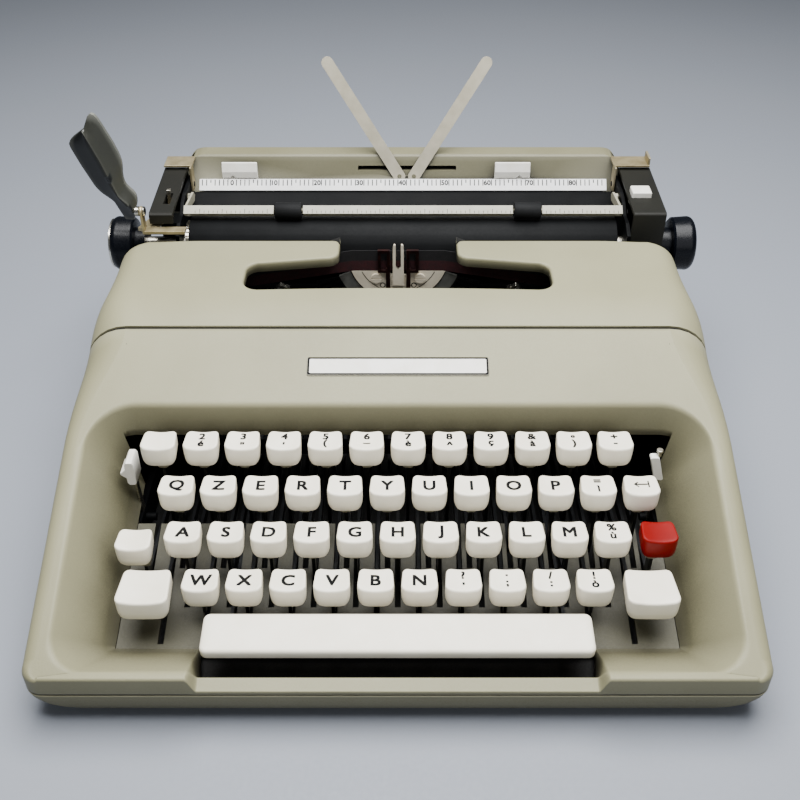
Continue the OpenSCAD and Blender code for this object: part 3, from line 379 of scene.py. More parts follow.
# Grey cast body of the type segment, dull with old oil.
RING_STEEL = Finish("oiled grey steel", "#7A7B76", "#666763", 0.45, mottle=5, grain=0.5, depth=0.01,
                    metallic=0.4)
# The ribbon guide, stained dark red by the ink that it rubs.
STAINED_STEEL = Finish("ink-stained steel", "#3A211E", "#241516", 0.4, mottle=4, grain=0.5, depth=0.01,
                       metallic=0.8)
# Black crackle paint on the inner frame.
FRAME_PAINT = Finish("black frame paint", "#0B0C0D", "#08090A", 0.55, mottle=12, grain=0.9, depth=0.03,
                     ior=1.18)
# Near-black matt lining inside the shells, like sound-deadening felt, and on the step under the seam gap:
# painted shade that keeps the insides and the gap dark; no shine at all.
SHADE_FELT = Finish("felt lining in painted shade", "#0B0B0A", "#100F0E", 0.95, mottle=5, grain=0.7, depth=0.08)
# Cream stoved enamel on the paper bail.
CREAM_ENAMEL = Finish("cream stoved enamel", "#9E9B89", "#94917F", 0.32, mottle=9, grain=1.2, depth=0.008,
                      grime="#A99F86", grime_share=0.3)
# White enamelled scale of the ruler, slightly silvery.
SCALE_WHITE = Finish("white scale enamel", "#E2E2E0", "#D8D9D9", 0.35, mottle=10, grain=1.0, depth=0.006)
# Cotton ribbon, inked black above and red below; the threads are drawn at 0.5 mm so that they show.
BLACK_RIBBON = Finish("black inked cotton", "#0C0B0D", "#131113", 0.8, mottle=3, grain=0.5, depth=0.05)
RED_RIBBON = Finish("red inked cotton", "#340A10", "#26080D", 0.8, mottle=3, grain=0.5, depth=0.05)
# White moulded plastic of the small levers, stops and buttons.
WHITE_PLASTIC = Finish("white moulded plastic", "#EFEDE6", "#E6E3D8", 0.36, mottle=8, grain=1.2, depth=0.008)


class Shape:
    """Collects points and faces in millimetres and makes one piece of them."""

    def __init__(self) -> None:
        """Starts with nothing."""
        self.points: list[Sequence[float]] = []
        self.faces: list[tuple[int, ...]] = []
        self.tones: list[int] = []

    def add(self, points: Iterable[Sequence[float]], faces: Iterable[Sequence[int]], tone: int = 0) -> None:
        """Adds points and the faces between them.

        Args:
            points: New points.
            faces: Faces that count from the first new point.
            tone: Which of the piece's finishes the faces get.
        """
        base = len(self.points)
        self.points.extend(points)
        for face in faces:
            self.faces.append(tuple(base + i for i in face))
            self.tones.append(tone)

    def loft(self, rows: Sequence[Row], closed: bool = True, tone: int = 0, ends: str = "",
             skip: Optional[Callable[[int, int], bool]] = None) -> None:
        """Joins rows of equally many points with four-sided faces.

        Args:
            rows: The rows in order.
            closed: Whether each row is a ring.
            tone: Which finish the faces get.
            ends: "first", "last" or "both" to close those rings with a face.
            skip: Tells which faces to leave out, by row and column.
        """
        n = len(rows[0])
        faces: list[tuple[int, ...]] = []
        for j in range(len(rows) - 1):
            for i in range(n if closed else n - 1):
                if skip and skip(j, i):
                    continue
                k = (i + 1) % n
                faces.append((j * n + i, j * n + k, (j + 1) * n + k, (j + 1) * n + i))
        if ends in ("first", "both"):
            faces.append(tuple(range(n - 1, -1, -1)))
        if ends in ("last", "both"):
            faces.append(tuple((len(rows) - 1) * n + i for i in range(n)))
        self.add([p for row in rows for p in row], faces, tone)

    def prism(self, outline: Sequence[Flat], axis: int, low: float, high: float, tone: int = 0,
              move: Optional[Matrix] = None) -> None:
        """Adds a solid with the same outline all along one axis.

        Args:
            outline: The outline in the two other axes, in x, y, z order.
            axis: 0, 1 or 2 for x, y or z.
            low: Where it starts on that axis.
            high: Where it ends.
            tone: Which finish it gets.
            move: An optional change of place in millimetres.
        """
        rows = []
        for level in (low, high):
            row = []
            for p in outline:
                point = [p[0], p[1]]
                point.insert(axis, level)
                row.append(tuple(move @ Vector(point)) if move else tuple(point))
            rows.append(row)
        self.loft(rows, tone=tone, ends="both")

    def turn(self, profile: Sequence[Flat], centre: Point, axis: int, count: int = 48, tone: int = 0) -> None:
        """Adds a turned solid.

        Args:
            profile: Pairs of radius and distance along the axis, from one end to the other.
            centre: The point on the axis that the distances count from.
            axis: 0 for x, 2 for z.
            count: Points around.
            tone: Which finish it gets.
        """
        rows = []
        for radius, way in profile:
            row = []
            for i in range(count):
                a = 2 * math.pi * i / count
                u, v = radius * math.cos(a), radius * math.sin(a)
                offset = (way, u, v) if axis == 0 else (u, v, way)
                row.append(tuple(c + o for c, o in zip(centre, offset)))
            rows.append(row)
        self.loft(rows, tone=tone, ends="both")

    def make(self, name: str, body: str, finishes: Sequence[Finish],
             stands_for: Sequence[str] = (), sharp: float = 38.0, bevel: float = 0.0,
             thickness: float = 0.0) -> None:
        """Makes the piece, gives it its finishes and lets it ride on its body.

        Args:
            name: The piece's name.
            body: The body that it moves with.
            finishes: Its finishes, by tone.
            stands_for: CAD nodes that it replaces.
            sharp: Edges with a larger angle, in degrees, stay crisp.
            bevel: Width of a rounding on crisp edges, in millimetres.
            thickness: Wall of an open sheet, in millimetres; its inner side gets the last finish.
        """
        mesh = bpy.data.meshes.new(name)
        mesh.from_pydata([place(p) for p in self.points], [], self.faces)
        for finish in finishes:
            mesh.materials.append(finish.material())
        mesh.polygons.foreach_set("material_index", self.tones)
        work = bmesh.new()
        work.from_mesh(mesh)
        bmesh.ops.remove_doubles(work, verts=work.verts, dist=1e-6)
        bmesh.ops.recalc_face_normals(work, faces=work.faces)
        for face in work.faces:
            face.smooth = True
        for edge in work.edges:
            edge.smooth = len(edge.link_faces) != 2 or edge.calc_face_angle() < math.radians(sharp)
        work.to_mesh(mesh)
        work.free()
        piece = bpy.data.objects.new(name, mesh)
        bpy.context.scene.collection.objects.link(piece)
        if thickness:
            shell = piece.modifiers.new("wall", "SOLIDIFY")
            shell.thickness = thickness * MM
            shell.offset = -1
            shell.material_offset = len(finishes) - 1
            piece.modifiers.new("normals", "WEIGHTED_NORMAL").keep_sharp = True
        if bevel:
            soften(piece, bevel)
        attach(piece, body)
        if stands_for:
            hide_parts(*stands_for)
        LOG.info("made %s on %s with %d faces", name, body, len(mesh.polygons))

    def print_on(self, name: str, body: str) -> None:
        """Makes the piece as thin printed ink on a body."""
        self.make(name, body, [INK], sharp=80)


def soften(piece: bpy.types.Object, width: float) -> None:
    """Rounds the crisp edges of a piece with a small bevel, in millimetres."""
    edges = piece.modifiers.new("edges", "BEVEL")
    edges.width = width * MM
    edges.segments = 2
    edges.limit_method = "ANGLE"
    edges.angle_limit = math.radians(35)
    edges.harden_normals = True


def dress(node: str, finish: Finish, bevel: float = 0.0) -> None:
    """Gives a CAD node its finish, and rounds its edges.

    Args:
        node: The node's name.
        finish: What it is made of.
        bevel: Width of the rounding in millimetres, or 0 for none.
    """
    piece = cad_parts[node]
    piece.data.materials.clear()
    piece.data.materials.append(finish.material())
    if bevel:
        weld = piece.modifiers.new("weld", "WELD")
        weld.merge_threshold = 0.001 * MM
        soften(piece, bevel)
    LOG.info("dressed %s in %s", node, finish.name)


def dress_all(table: Iterable[tuple[Finish, float, str]]) -> None:
    """Dresses CAD nodes by rows of finish, rounding and the names of nodes, with spaces between."""
    for finish, bevel, nodes in table:
        for node in nodes.split():
            dress(node, finish, bevel)


def lettering(words: str, height: float, widen: float, stroke: float) -> tuple[list[Point], list]:
    """Makes flat letters with the built-in font, thickened by laying four shifted copies over each other.

    Args:
        words: The letters.
        height: Size of the type in millimetres.
        widen: How much wider than the font.
        stroke: How far the copies are shifted, in millimetres.

    Returns:
        Points about the middle, in millimetres, and faces.
    """
    curve = bpy.data.curves.new("letters", "FONT")
    curve.body = words
    curve.size = height
    curve.align_x = "CENTER"
    curve.align_y = "CENTER"
    curve.resolution_u = 3
    holder = bpy.data.objects.new("letters", curve)
    mesh = bpy.data.meshes.new_from_object(holder)
    flat = [(v.co.x * widen, v.co.y) for v in mesh.vertices]
    outlines = [tuple(p.vertices) for p in mesh.polygons]
    bpy.data.objects.remove(holder)
    bpy.data.curves.remove(curve)
    bpy.data.meshes.remove(mesh)
    middle = [(min(p[i] for p in flat) + max(p[i] for p in flat)) / 2 for i in (0, 1)]
    points: list[Point] = []
    faces = []
    layer = 0.004
    for k, (dx, dy) in enumerate(((-1, -1), (1, -1), (1, 1), (-1, 1))):
        points += [(x - middle[0] + dx * stroke, y - middle[1] + dy * stroke, layer * k) for x, y in flat]
        faces += [tuple(k * len(flat) + i for i in face) for face in outlines]
    return points, faces


@dataclass
class Case:
    """The moulded case: housing with the key well, ribbon cover, base pan, plate and feet."""

    half: float = 155.5
    depth: float = 318.0
    seam: float = 18.2
    lip: float = 28.0
    slope: float = 0.4135
    slope_from: float = 3.0
    corner: float = 9.0
    edge: float = 1.3
    side_edge: Flat = (6.0, 7.5)
    seam_round: float = 22.0
    seam_gap: float = 0.4
    wall: float = 2.4
    cover_front: float = 158.7
    seam_rear: float = 160.4
    lean: float = 4.0
    cover_rear: float = 241.0
    cover_top: float = 97.0
    deck: float = 57.0
    rim_half: float = 145.0
    rim_front: float = 4.0
    rim_rear: float = 119.5
    rim_front_corner: float = 15.0
    rim_rear_corner: float = 22.0
    rim_lip: float = 2.2
    floor_half: float = 124.0
    floor_ends: Flat = (29.0, 112.0)
    floor_z: float = 10.5
    floor_from: float = 26.0
    floor_slope: float = 0.26
    notch_half: float = 82.5
    cheek: float = 4.5
    notch_lip: Flat = (20.6, 22.3)
    bulkhead: float = 60.0
    gap_half: float = 32.0

    def top(self, y: float) -> float:
        """Height of the sloping upper face at a depth."""
        return self.lip + self.slope * (y - self.slope_from)

    def floor(self, y: float) -> float:
        """Height of the slotted floor at a depth."""
        return self.floor_z + self.floor_slope * (y - self.floor_from)

    def notch(self, x: float) -> float:
        """Share of the notch at a place along the front: 1 inside it, 0 outside."""
        return 1 - ease((abs(x) - self.notch_half) / self.cheek)

    def stations(self) -> list[dict]:
        """Places round the housing, each with its outer point, rim point, floor point and edge radius.

        Returns:
            One record per place, in order round the case from the left of the front.
        """
        edge = self.notch_half + self.cheek
        plain = 100.0
        coarse = spread(0, self.notch_half - 2, 12) + spread(self.notch_half - 0.7, edge + 0.7, 14)
        xs = coarse + spread(edge + 2.5, plain - 2, 4) + spread(plain, self.half - self.corner, 7)
        rim_run = self.rim_half - self.rim_front_corner - plain
        outer_run = self.half - self.corner - plain
        sill_y, sill_foot = 6.0, (7.6, 11.0)
        foot_y = self.floor_ends[0]
        result = []
        for x in [-x for x in reversed(xs[1:])] + xs:
            narrow = plain + (abs(x) - plain) * rim_run / outer_run
            rim_x = x if abs(x) <= plain else math.copysign(narrow, x)
            n = self.notch(x)
            rim = (rim_x, mix(self.rim_front, sill_y, n))
            foot_x = math.copysign(min(abs(rim_x), self.floor_half), x)
            foot = (foot_x, mix(foot_y, sill_foot[0], n), mix(self.floor(foot_y), sill_foot[1], n))
            result.append(dict(
                out=(x, 0.0), inward=(0, 1), rim=rim, foot=foot, lip=mix(1.8, 0.8, n),
                top=mix(self.top(self.rim_front), self.notch_lip[0], n), r=mix(self.edge, 0.7, n),
                rim_top=mix(self.top(rim[1]), self.notch_lip[1], n)))
        side = self.right_side()
        rear = [self.rear_station(x) for x in spread(self.rim_half - self.rim_rear_corner, 0, 12)[1:]]
        left = [self.mirrored(s) for s in reversed(side + rear[:-1])]
        return result + side + rear + left

    def right_side(self) -> list[dict]:
        """The places from the front right corner to the rear right corner of the well."""
        result = []
        foot_start, foot_end = self.floor_ends
        steps = 9
        for k in range(1, steps + 1):
            t = k / (steps + 1)
            a = math.radians(-90 + 90 * t)
            c, s = math.cos(a), math.sin(a)
            r = self.rim_front_corner
            foot_y = mix(foot_start, foot_start + 1, t)
            result.append(dict(
                out=(self.half - self.corner + self.corner * c, self.corner + self.corner * s),
                inward=(-c, -s), rim=(self.rim_half - r + r * c, self.rim_front + r + r * s),
                foot=(self.floor_half, foot_y, self.floor(foot_y)), lip=self.rim_lip,
                r=mix(self.edge, self.side_edge[0], ease(t))))
        count = 16
        straight = spread(self.rim_front + self.rim_front_corner, self.rim_rear - self.rim_rear_corner, count)
        for i, y in enumerate(straight):
            t = i / (count - 1)
            foot_y = mix(foot_start + 1, foot_end - 1, t)
            result.append(dict(
                out=(self.half, mix(self.corner, straight[-1], t)), inward=(-1, 0), rim=(self.rim_half, y),
                foot=(self.floor_half, foot_y, self.floor(foot_y)), lip=self.rim_lip,
                r=mix(*self.side_edge, t)))
        steps = 15
        step = 1 / (steps + 1)
        for k in range(1, steps + 1):
            t = k / (steps + 1)
            a = math.radians(90 * t)
            r = self.rim_rear_corner
            rim = (self.rim_half - r + r * math.cos(a), self.rim_rear - r + r * math.sin(a))
            foot = (self.floor_half, foot_end, self.floor(foot_end))
            if t > 0.68:
                foot = self.at_bulkhead((*rim, self.top(rim[1])), foot)
            if t <= 0.5:
                y = mix(straight[-1], self.cover_front, t / 0.5)
                result.append(dict(out=(self.half, y), inward=(-1, 0), rim=rim, foot=foot, lip=self.rim_lip,
                                   r=mix(self.side_edge[1], self.seam_round, ease(t / 0.5) ** 1.3)))
            else:
                share = (t - 0.5 - step) / (0.5 - step)
                x = mix(self.half - self.seam_round, self.rim_half - r, share)
                result.append(dict(out=(x, self.cover_front), inward=(0, -1), rim=rim, foot=foot,
                                   lip=self.rim_lip, r=0.0))
        last = dict(result[-1])
        last["rim"] = (self.rim_half - self.rim_rear_corner, self.rim_rear)
        last["out"] = (last["rim"][0], self.cover_front)
        result.append(last)
        return result

    def rear_station(self, x: float) -> dict:
        """A place on the straight rear rim of the well, whose wall ends at the bulkhead."""
        rim, end = (x, self.rim_rear), self.floor_ends[1]
        foot = self.at_bulkhead((*rim, self.top(self.rim_rear)), (x, end, self.floor(end)))
        return dict(out=(x, self.cover_front), inward=(0, -1), rim=rim, foot=foot, r=0.0,
                    lip=self.rim_lip)

    def at_bulkhead(self, rim: Point, foot: Point) -> Point:
        """The place where a line from the rim to the floor meets the upper edge of the dark gate."""
        return tuple(Vector(rim).lerp(Vector(foot), (rim[2] - self.bulkhead) / (rim[2] - foot[2])))

    @staticmethod
    def mirrored(station: dict) -> dict:
        """The same place on the left side."""
        copy = dict(station)
        for key in ("out", "inward", "rim", "foot"):
            copy[key] = (-station[key][0], *station[key][1:])
        return copy

    def housing_column(self, s: dict) -> Row:
        """The points from the lower edge of the outer wall, over the rim, down into the well.

        Args:
            s: The place, as stations() gives it.

        Returns:
            The points of that column.
        """
        r, inward = s["r"], s["inward"]
        end = (s["out"][0] + inward[0] * r, s["out"][1] + inward[1] * r)
        top = s.get("top", self.top(end[1]))
        rim_top = s.get("rim_top", self.top(s["rim"][1]))
        column: Row = []
        low = self.seam + self.seam_gap
        for share in (0.0, 0.06, 0.5, 1.0):
            column.append((*s["out"], mix(low, top - r, share)))
        for a in spread(0, 90, 8)[1:]:
            c, h = 1 - math.cos(math.radians(a)), math.sin(math.radians(a))
            column.append((s["out"][0] + inward[0] * r * c, s["out"][1] + inward[1] * r * c, top - r + r * h))
        rim, foot = Vector((*s["rim"], rim_top)), Vector(s["foot"])
        flat = Vector((end[0], end[1], top)) - rim
        flat_dir = flat.normalized() if flat.length > 0.2 else Vector((-inward[0], -inward[1], 0))
        down = (foot - rim).normalized()
        size = min(s["lip"], flat.length * 0.8 + 0.3)
        start, finish = rim + flat_dir * size, rim + down * s["lip"]
        edge = Vector((end[0], end[1], top))
        near = min(0.3, 1.5 / max(0.1, (start - edge).length))
        column += [tuple(edge.lerp(start, near)), tuple(edge.lerp(start, 1 - near))]
        for t in spread(0.0, 1.0, 6):
            p = start * (1 - t) ** 2 + rim * 2 * t * (1 - t) + finish * t ** 2
            column.append(tuple(p))
        for t in (0.25, 0.5, 0.75, 1.0):
            column.append(tuple(finish.lerp(foot, t)))
        return column

    def build_housing(self) -> None:
        """The upper housing with the well, the notch and the low rear walls."""
        places = self.stations()
        columns = [self.housing_column(s) for s in places]
        rows = [[column[j] for column in columns] for j in range(len(columns[0]))]
        count = len(places)
        wall_rows = 10
        shape = Shape()
        shape.loft(rows, skip=lambda j, i: j < wall_rows and not (
            places[i]["r"] and places[(i + 1) % count]["r"]))
        round_y = self.depth - self.corner
        rear: list[Flat] = [(self.half, self.cover_front)]
        rear += arc((self.half - self.corner, round_y), self.corner, 0, 90, 9)
        rear += flipped(reversed(rear))
        walls = []
        for inset, z in ((0, self.seam + self.seam_gap), (0, self.deck - 1.2), (0.4, self.deck - 0.3),
                         (1.2, self.deck)):
            walls.append([(x - math.copysign(inset, x), y - (inset if y > round_y else 0), z)
                          for x, y in rear])
        shape.loft(walls, closed=False)
        self.shell(shape, "housing_shell", "chassis", "upper_housing")
        deck = Shape()
        inset, front = 1.6, 300.0
        outline = rounded_rectangle((-self.half + inset, front), (self.half - inset, self.depth - inset), 6)
        deck.prism(outline, 2, self.deck - 2.5, self.deck - 0.4)
        deck.make("rear_deck", "chassis", [CASE_ABS], bevel=0.4)

    def shell(self, shape: Shape, name: str, body: str, node: str) -> None:
        """Makes a moulded shell in place of a CAD node, with a near-black lining inside as painted shade."""
        shape.make(name, body, [CASE_ABS, SHADE_FELT], [node], thickness=self.wall)

    def cover_height(self, y: float) -> float:
        """Height of the ribbon cover at a depth: the housing's slope runs out into a flat."""
        bend, fall_from, fall_run = 25.0, 215.0, 26.0
        t = (y - self.cover_front) / bend
        if t < 1:
            start = self.top(self.cover_front)
            hold, reach = 2 * t ** 3 - 3 * t ** 2 + 1, 3 * t ** 2 - 2 * t ** 3
            drive = t ** 3 - 2 * t ** 2 + t
            return hold * start + drive * bend * self.slope + reach * self.cover_top
        return self.cover_top - max(0.0, (y - fall_from) / fall_run) ** 2

    def cover_stations(self) -> list[dict]:
        """Places along the left half of the cover, from the gap at the rear to the middle of the front."""
        finger = [(-self.gap_half, self.cover_rear)]
        finger += arc((-self.gap_half - 7, 226.5), 7, 0, -90, 7)
        finger += [(-72.0, 214.5)]
        end = arc((-73.0, 207.5), 7, 90, 180, 6) + arc((-71.0, 197.0), 9, 180, 270, 7)
        result = []
        turn = 14.0
        half = self.half - self.lean
        outer = along([(-self.gap_half, self.cover_rear), (-half + turn, self.cover_rear)], 24)
        for i, (out, hole) in enumerate(zip(outer, along(finger, 24))):
            t = ease((i - 17) / 6)
            result.append(dict(out=out, inward=(0, -1), hole=hole, lean=0.0,
                               r=mix(2.0, 4, t), low=mix(7, 12, t)))
        path = arc((-half + turn, self.cover_rear - turn), turn, 90, 180, 10)[1:]
        for y in spread(self.cover_rear - turn, 187, 10)[1:] + spread(184.5, self.seam_rear, 13):
            path.append((-self.half + self.lean * ease((y - self.seam_rear) / 60), y))
        holes = along(end, len(path) + 1)[1:]
        for i, (out, hole) in enumerate(zip(path, holes)):
            a = math.radians(90 + 10 * min(9, i + 1))
            height = self.cover_height(out[1])
            result.append(dict(out=out, inward=(-math.cos(a), -math.sin(a)), hole=hole,
                               lean=self.half + out[0],
                               r=mix(4, self.seam_round, ((i + 1) / len(path)) ** 0.8),
                               low=mix(12, height - self.deck - self.seam_gap, ease((i + 1) / 9))))
        side = self.half - self.seam_round
        for x in [-side + 2, -side + 5, *spread(-side + 9, 0, 15)]:
            t = (x + side) / side
            hole = (mix(-71.0, 0, t), 188.0 + 2.2 * math.sin(t * math.pi / 2))
            result.append(dict(out=(x, self.seam_rear), inward=(0, 1), hole=hole, lean=0.0,
                               r=min(0.5, 3 * t), low=9.0))
        return result

    def cover_column(self, s: dict) -> Row:
        """The points from the lower edge of the cover's wall to the turned-down edge of its opening."""
        r, inward = s["r"], s["inward"]
        end = (s["out"][0] + inward[0] * r, s["out"][1] + inward[1] * r)
        base = self.cover_height(s["out"][1])
        column: Row = []
        for share in (0.0, 0.5):
            out_x = s["out"][0] - s["lean"] * (1 - share) * inward[0]
            column.append((out_x, s["out"][1], mix(base - s["low"], base - r, share)))
        for a in spread(0, 90, 8):
            c, h = 1 - math.cos(math.radians(a)), math.sin(math.radians(a))
            x, y = s["out"][0] + inward[0] * r * c, s["out"][1] + inward[1] * r * c
            column.append((x, y, self.cover_height(y) - r + r * h))
        hole = s["hole"]
        way = Vector((hole[0] - end[0], hole[1] - end[1]))
        edge = min(1.6, way.length * 0.4)
        unit = way.normalized() if way.length > 1e-6 else Vector((0.0, -1.0))
        lip = (hole[0] - unit.x * edge, hole[1] - unit.y * edge)
        for t in spread(0, 1, 15)[1:]:
            x, y = mix(end[0], lip[0], t), mix(end[1], lip[1], t)
            column.append((x, y, self.cover_height(y)))
        height = self.cover_height(hole[1])
        for a in spread(0, 90, 5)[1:]:
            c, h = math.sin(math.radians(a)), 1 - math.cos(math.radians(a))
            column.append((lip[0] + unit.x * edge * c, lip[1] + unit.y * edge * c, height - edge * h))
        column.append((*hole, height - 5.5))
        return column

    def build_cover(self) -> None:
        """The lift-off ribbon cover with its opening over the type basket."""
        left = [self.cover_column(s) for s in self.cover_stations()]
        right = [[(-x, y, z) for x, y, z in column] for column in reversed(left[:-1])]
        columns = left + right
        rows = [[column[j] for column in columns] for j in range(len(columns[0]))]
        shape = Shape()
        shape.loft(rows, closed=False)
        self.shell(shape, "ribbon_cover_shell", "cover", "ribbon_cover")

    def build_pan(self) -> None:
        """The base pan, drawn in towards its flat bottom."""
        shape = Shape()
        rows = []
        profile = [(0.0, 0.0, self.seam - 0.5), (0.0, 0.0, self.seam - 1.2), (0.8, 0.2, 14.4),
                   (4.0, 0.6, 10.8), (8.5, 1.1, 8.5), (14.0, 1.8, 6.8), (19.5, 2.6, 5.6), (26.0, 3.8, 5.0)]
        for inset, front, z in profile:
            low, high = (-self.half + inset, front), (self.half - inset, self.depth - front)
            rows.append([(x, y, z) for x, y in rounded_rectangle(low, high, self.corner, 9)])
        shape.loft(rows, ends="last")
        self.shell(shape, "base_pan_shell", "chassis", "base_pan")

    def build_seam(self) -> None:
        """A near-black step under the gap between housing and cover, painted shade for the gap, which follows
        the round corners.
        """
        inset, r = 0.9, self.seam_round
        centre = (self.half - r, self.top(self.cover_front) - r)
        side = [(self.half - inset, self.deck - 2), *arc(centre, r - inset, 0, 90, 12)]
        profile = side + flipped(reversed(side))
        rows = []
        for y in (self.cover_front - 3, self.seam_rear - 0.2):
            rows.append([(x, y, z + self.slope * (y - self.cover_front)) for x, z in profile])
        shape = Shape()
        shape.loft(rows, closed=False)
        shape.make("seam_shade_step", "chassis", [SHADE_FELT])

    def build_plate(self) -> None:
        """The bare white plate with its thin dark outline."""
        half_w, half_d, middle = 43.5, 5.0, 138.7
        lean = leaning((0, middle, self.top(middle)), math.atan(self.slope))
        shape = Shape()
        rows = []
        for inset, z in ((0.0, 0.05), (0.0, 0.55), (0.1, 0.75), (1.05, 0.75), (1.1, 0.72), (1.5, 0.72)):
            corners = (-half_w + inset, -half_d + inset), (half_w - inset, half_d - inset)
            outline = rounded_rectangle(*corners, 0.6, 4)
            rows.append([tuple(lean @ Vector((x, y, z))) for x, y in outline])
        shape.loft(rows[:3], ends="first")
        shape.loft(rows[2:4], tone=1)
        shape.loft(rows[3:], ends="last")
        shape.make("name_plate_blank", "chassis", [WHITE_PLASTIC, INK], ["name_plate"])

    def build_feet(self) -> None:
        """Four rubber feet with a turned-in rim and a recess."""
        shape = Shape()
        low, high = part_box("rubber_feet")
        radius, height = 9.0, high.z / MM
        for x in ((low.x - CENTRE_X) / MM + radius, (high.x - CENTRE_X) / MM - radius):
            for y in ((low.y - FRONT_Y) / MM + radius, (high.y - FRONT_Y) / MM - radius):
                profile = [(2.5, 1.5), (4.0, 1.2), (4.6, 0.2), (5.4, 0.0), (8.0, 0.0), (8.7, 0.4), (9.0, 1.4),
                           (9.0, height + 0.1), (3.0, height + 0.1)]
                shape.turn(profile, (x, y, 0), 2, 32)
        shape.make("feet", "chassis", [SOFT_RUBBER], ["rubber_feet"])

    def build(self) -> None:
        """Makes every piece of the case."""
        self.build_housing()
        self.build_cover()
        self.build_pan()
        self.build_seam()
        self.build_plate()
        self.build_feet()

    def dress(self) -> None:
        """Gives the CAD nodes inside the case their finishes."""
        dress_all([(SHADED_FLOOR_ABS, 0.0, "key_floor"), (FRAME_PAINT, 0.0, "chassis_frame"),
                   (NICKEL, 0.0, "fulcrum_shaft"), (NICKEL, 0.3, "carriage_rail"),
                   (BLACK_STEEL, 0.0, "mainspring_drum")])


# Each row's body, the place of its first key in pitches, and its legends; the middle key has its own.
KEY_ROWS = (
    ("lower_row", -4.5, ("W", "X", "C", "V", "B", "N", "?,", ".;", "/:", "!ò")),
    ("home_row", -5.0, ("A", "S", "D", "F", "G", "", "J", "K", "L", "M", "%ù")),
    ("upper_row", -5.25, ("Q", "Z", "E", "R", "T", "Y", "U", "I", "O", "P", "=ì")),
    ("number_row", -4.75, ("2é", "3\"", "4'", "5(", "6_", "7è", "8^", "9ç", "&à", "°)", "+-")))


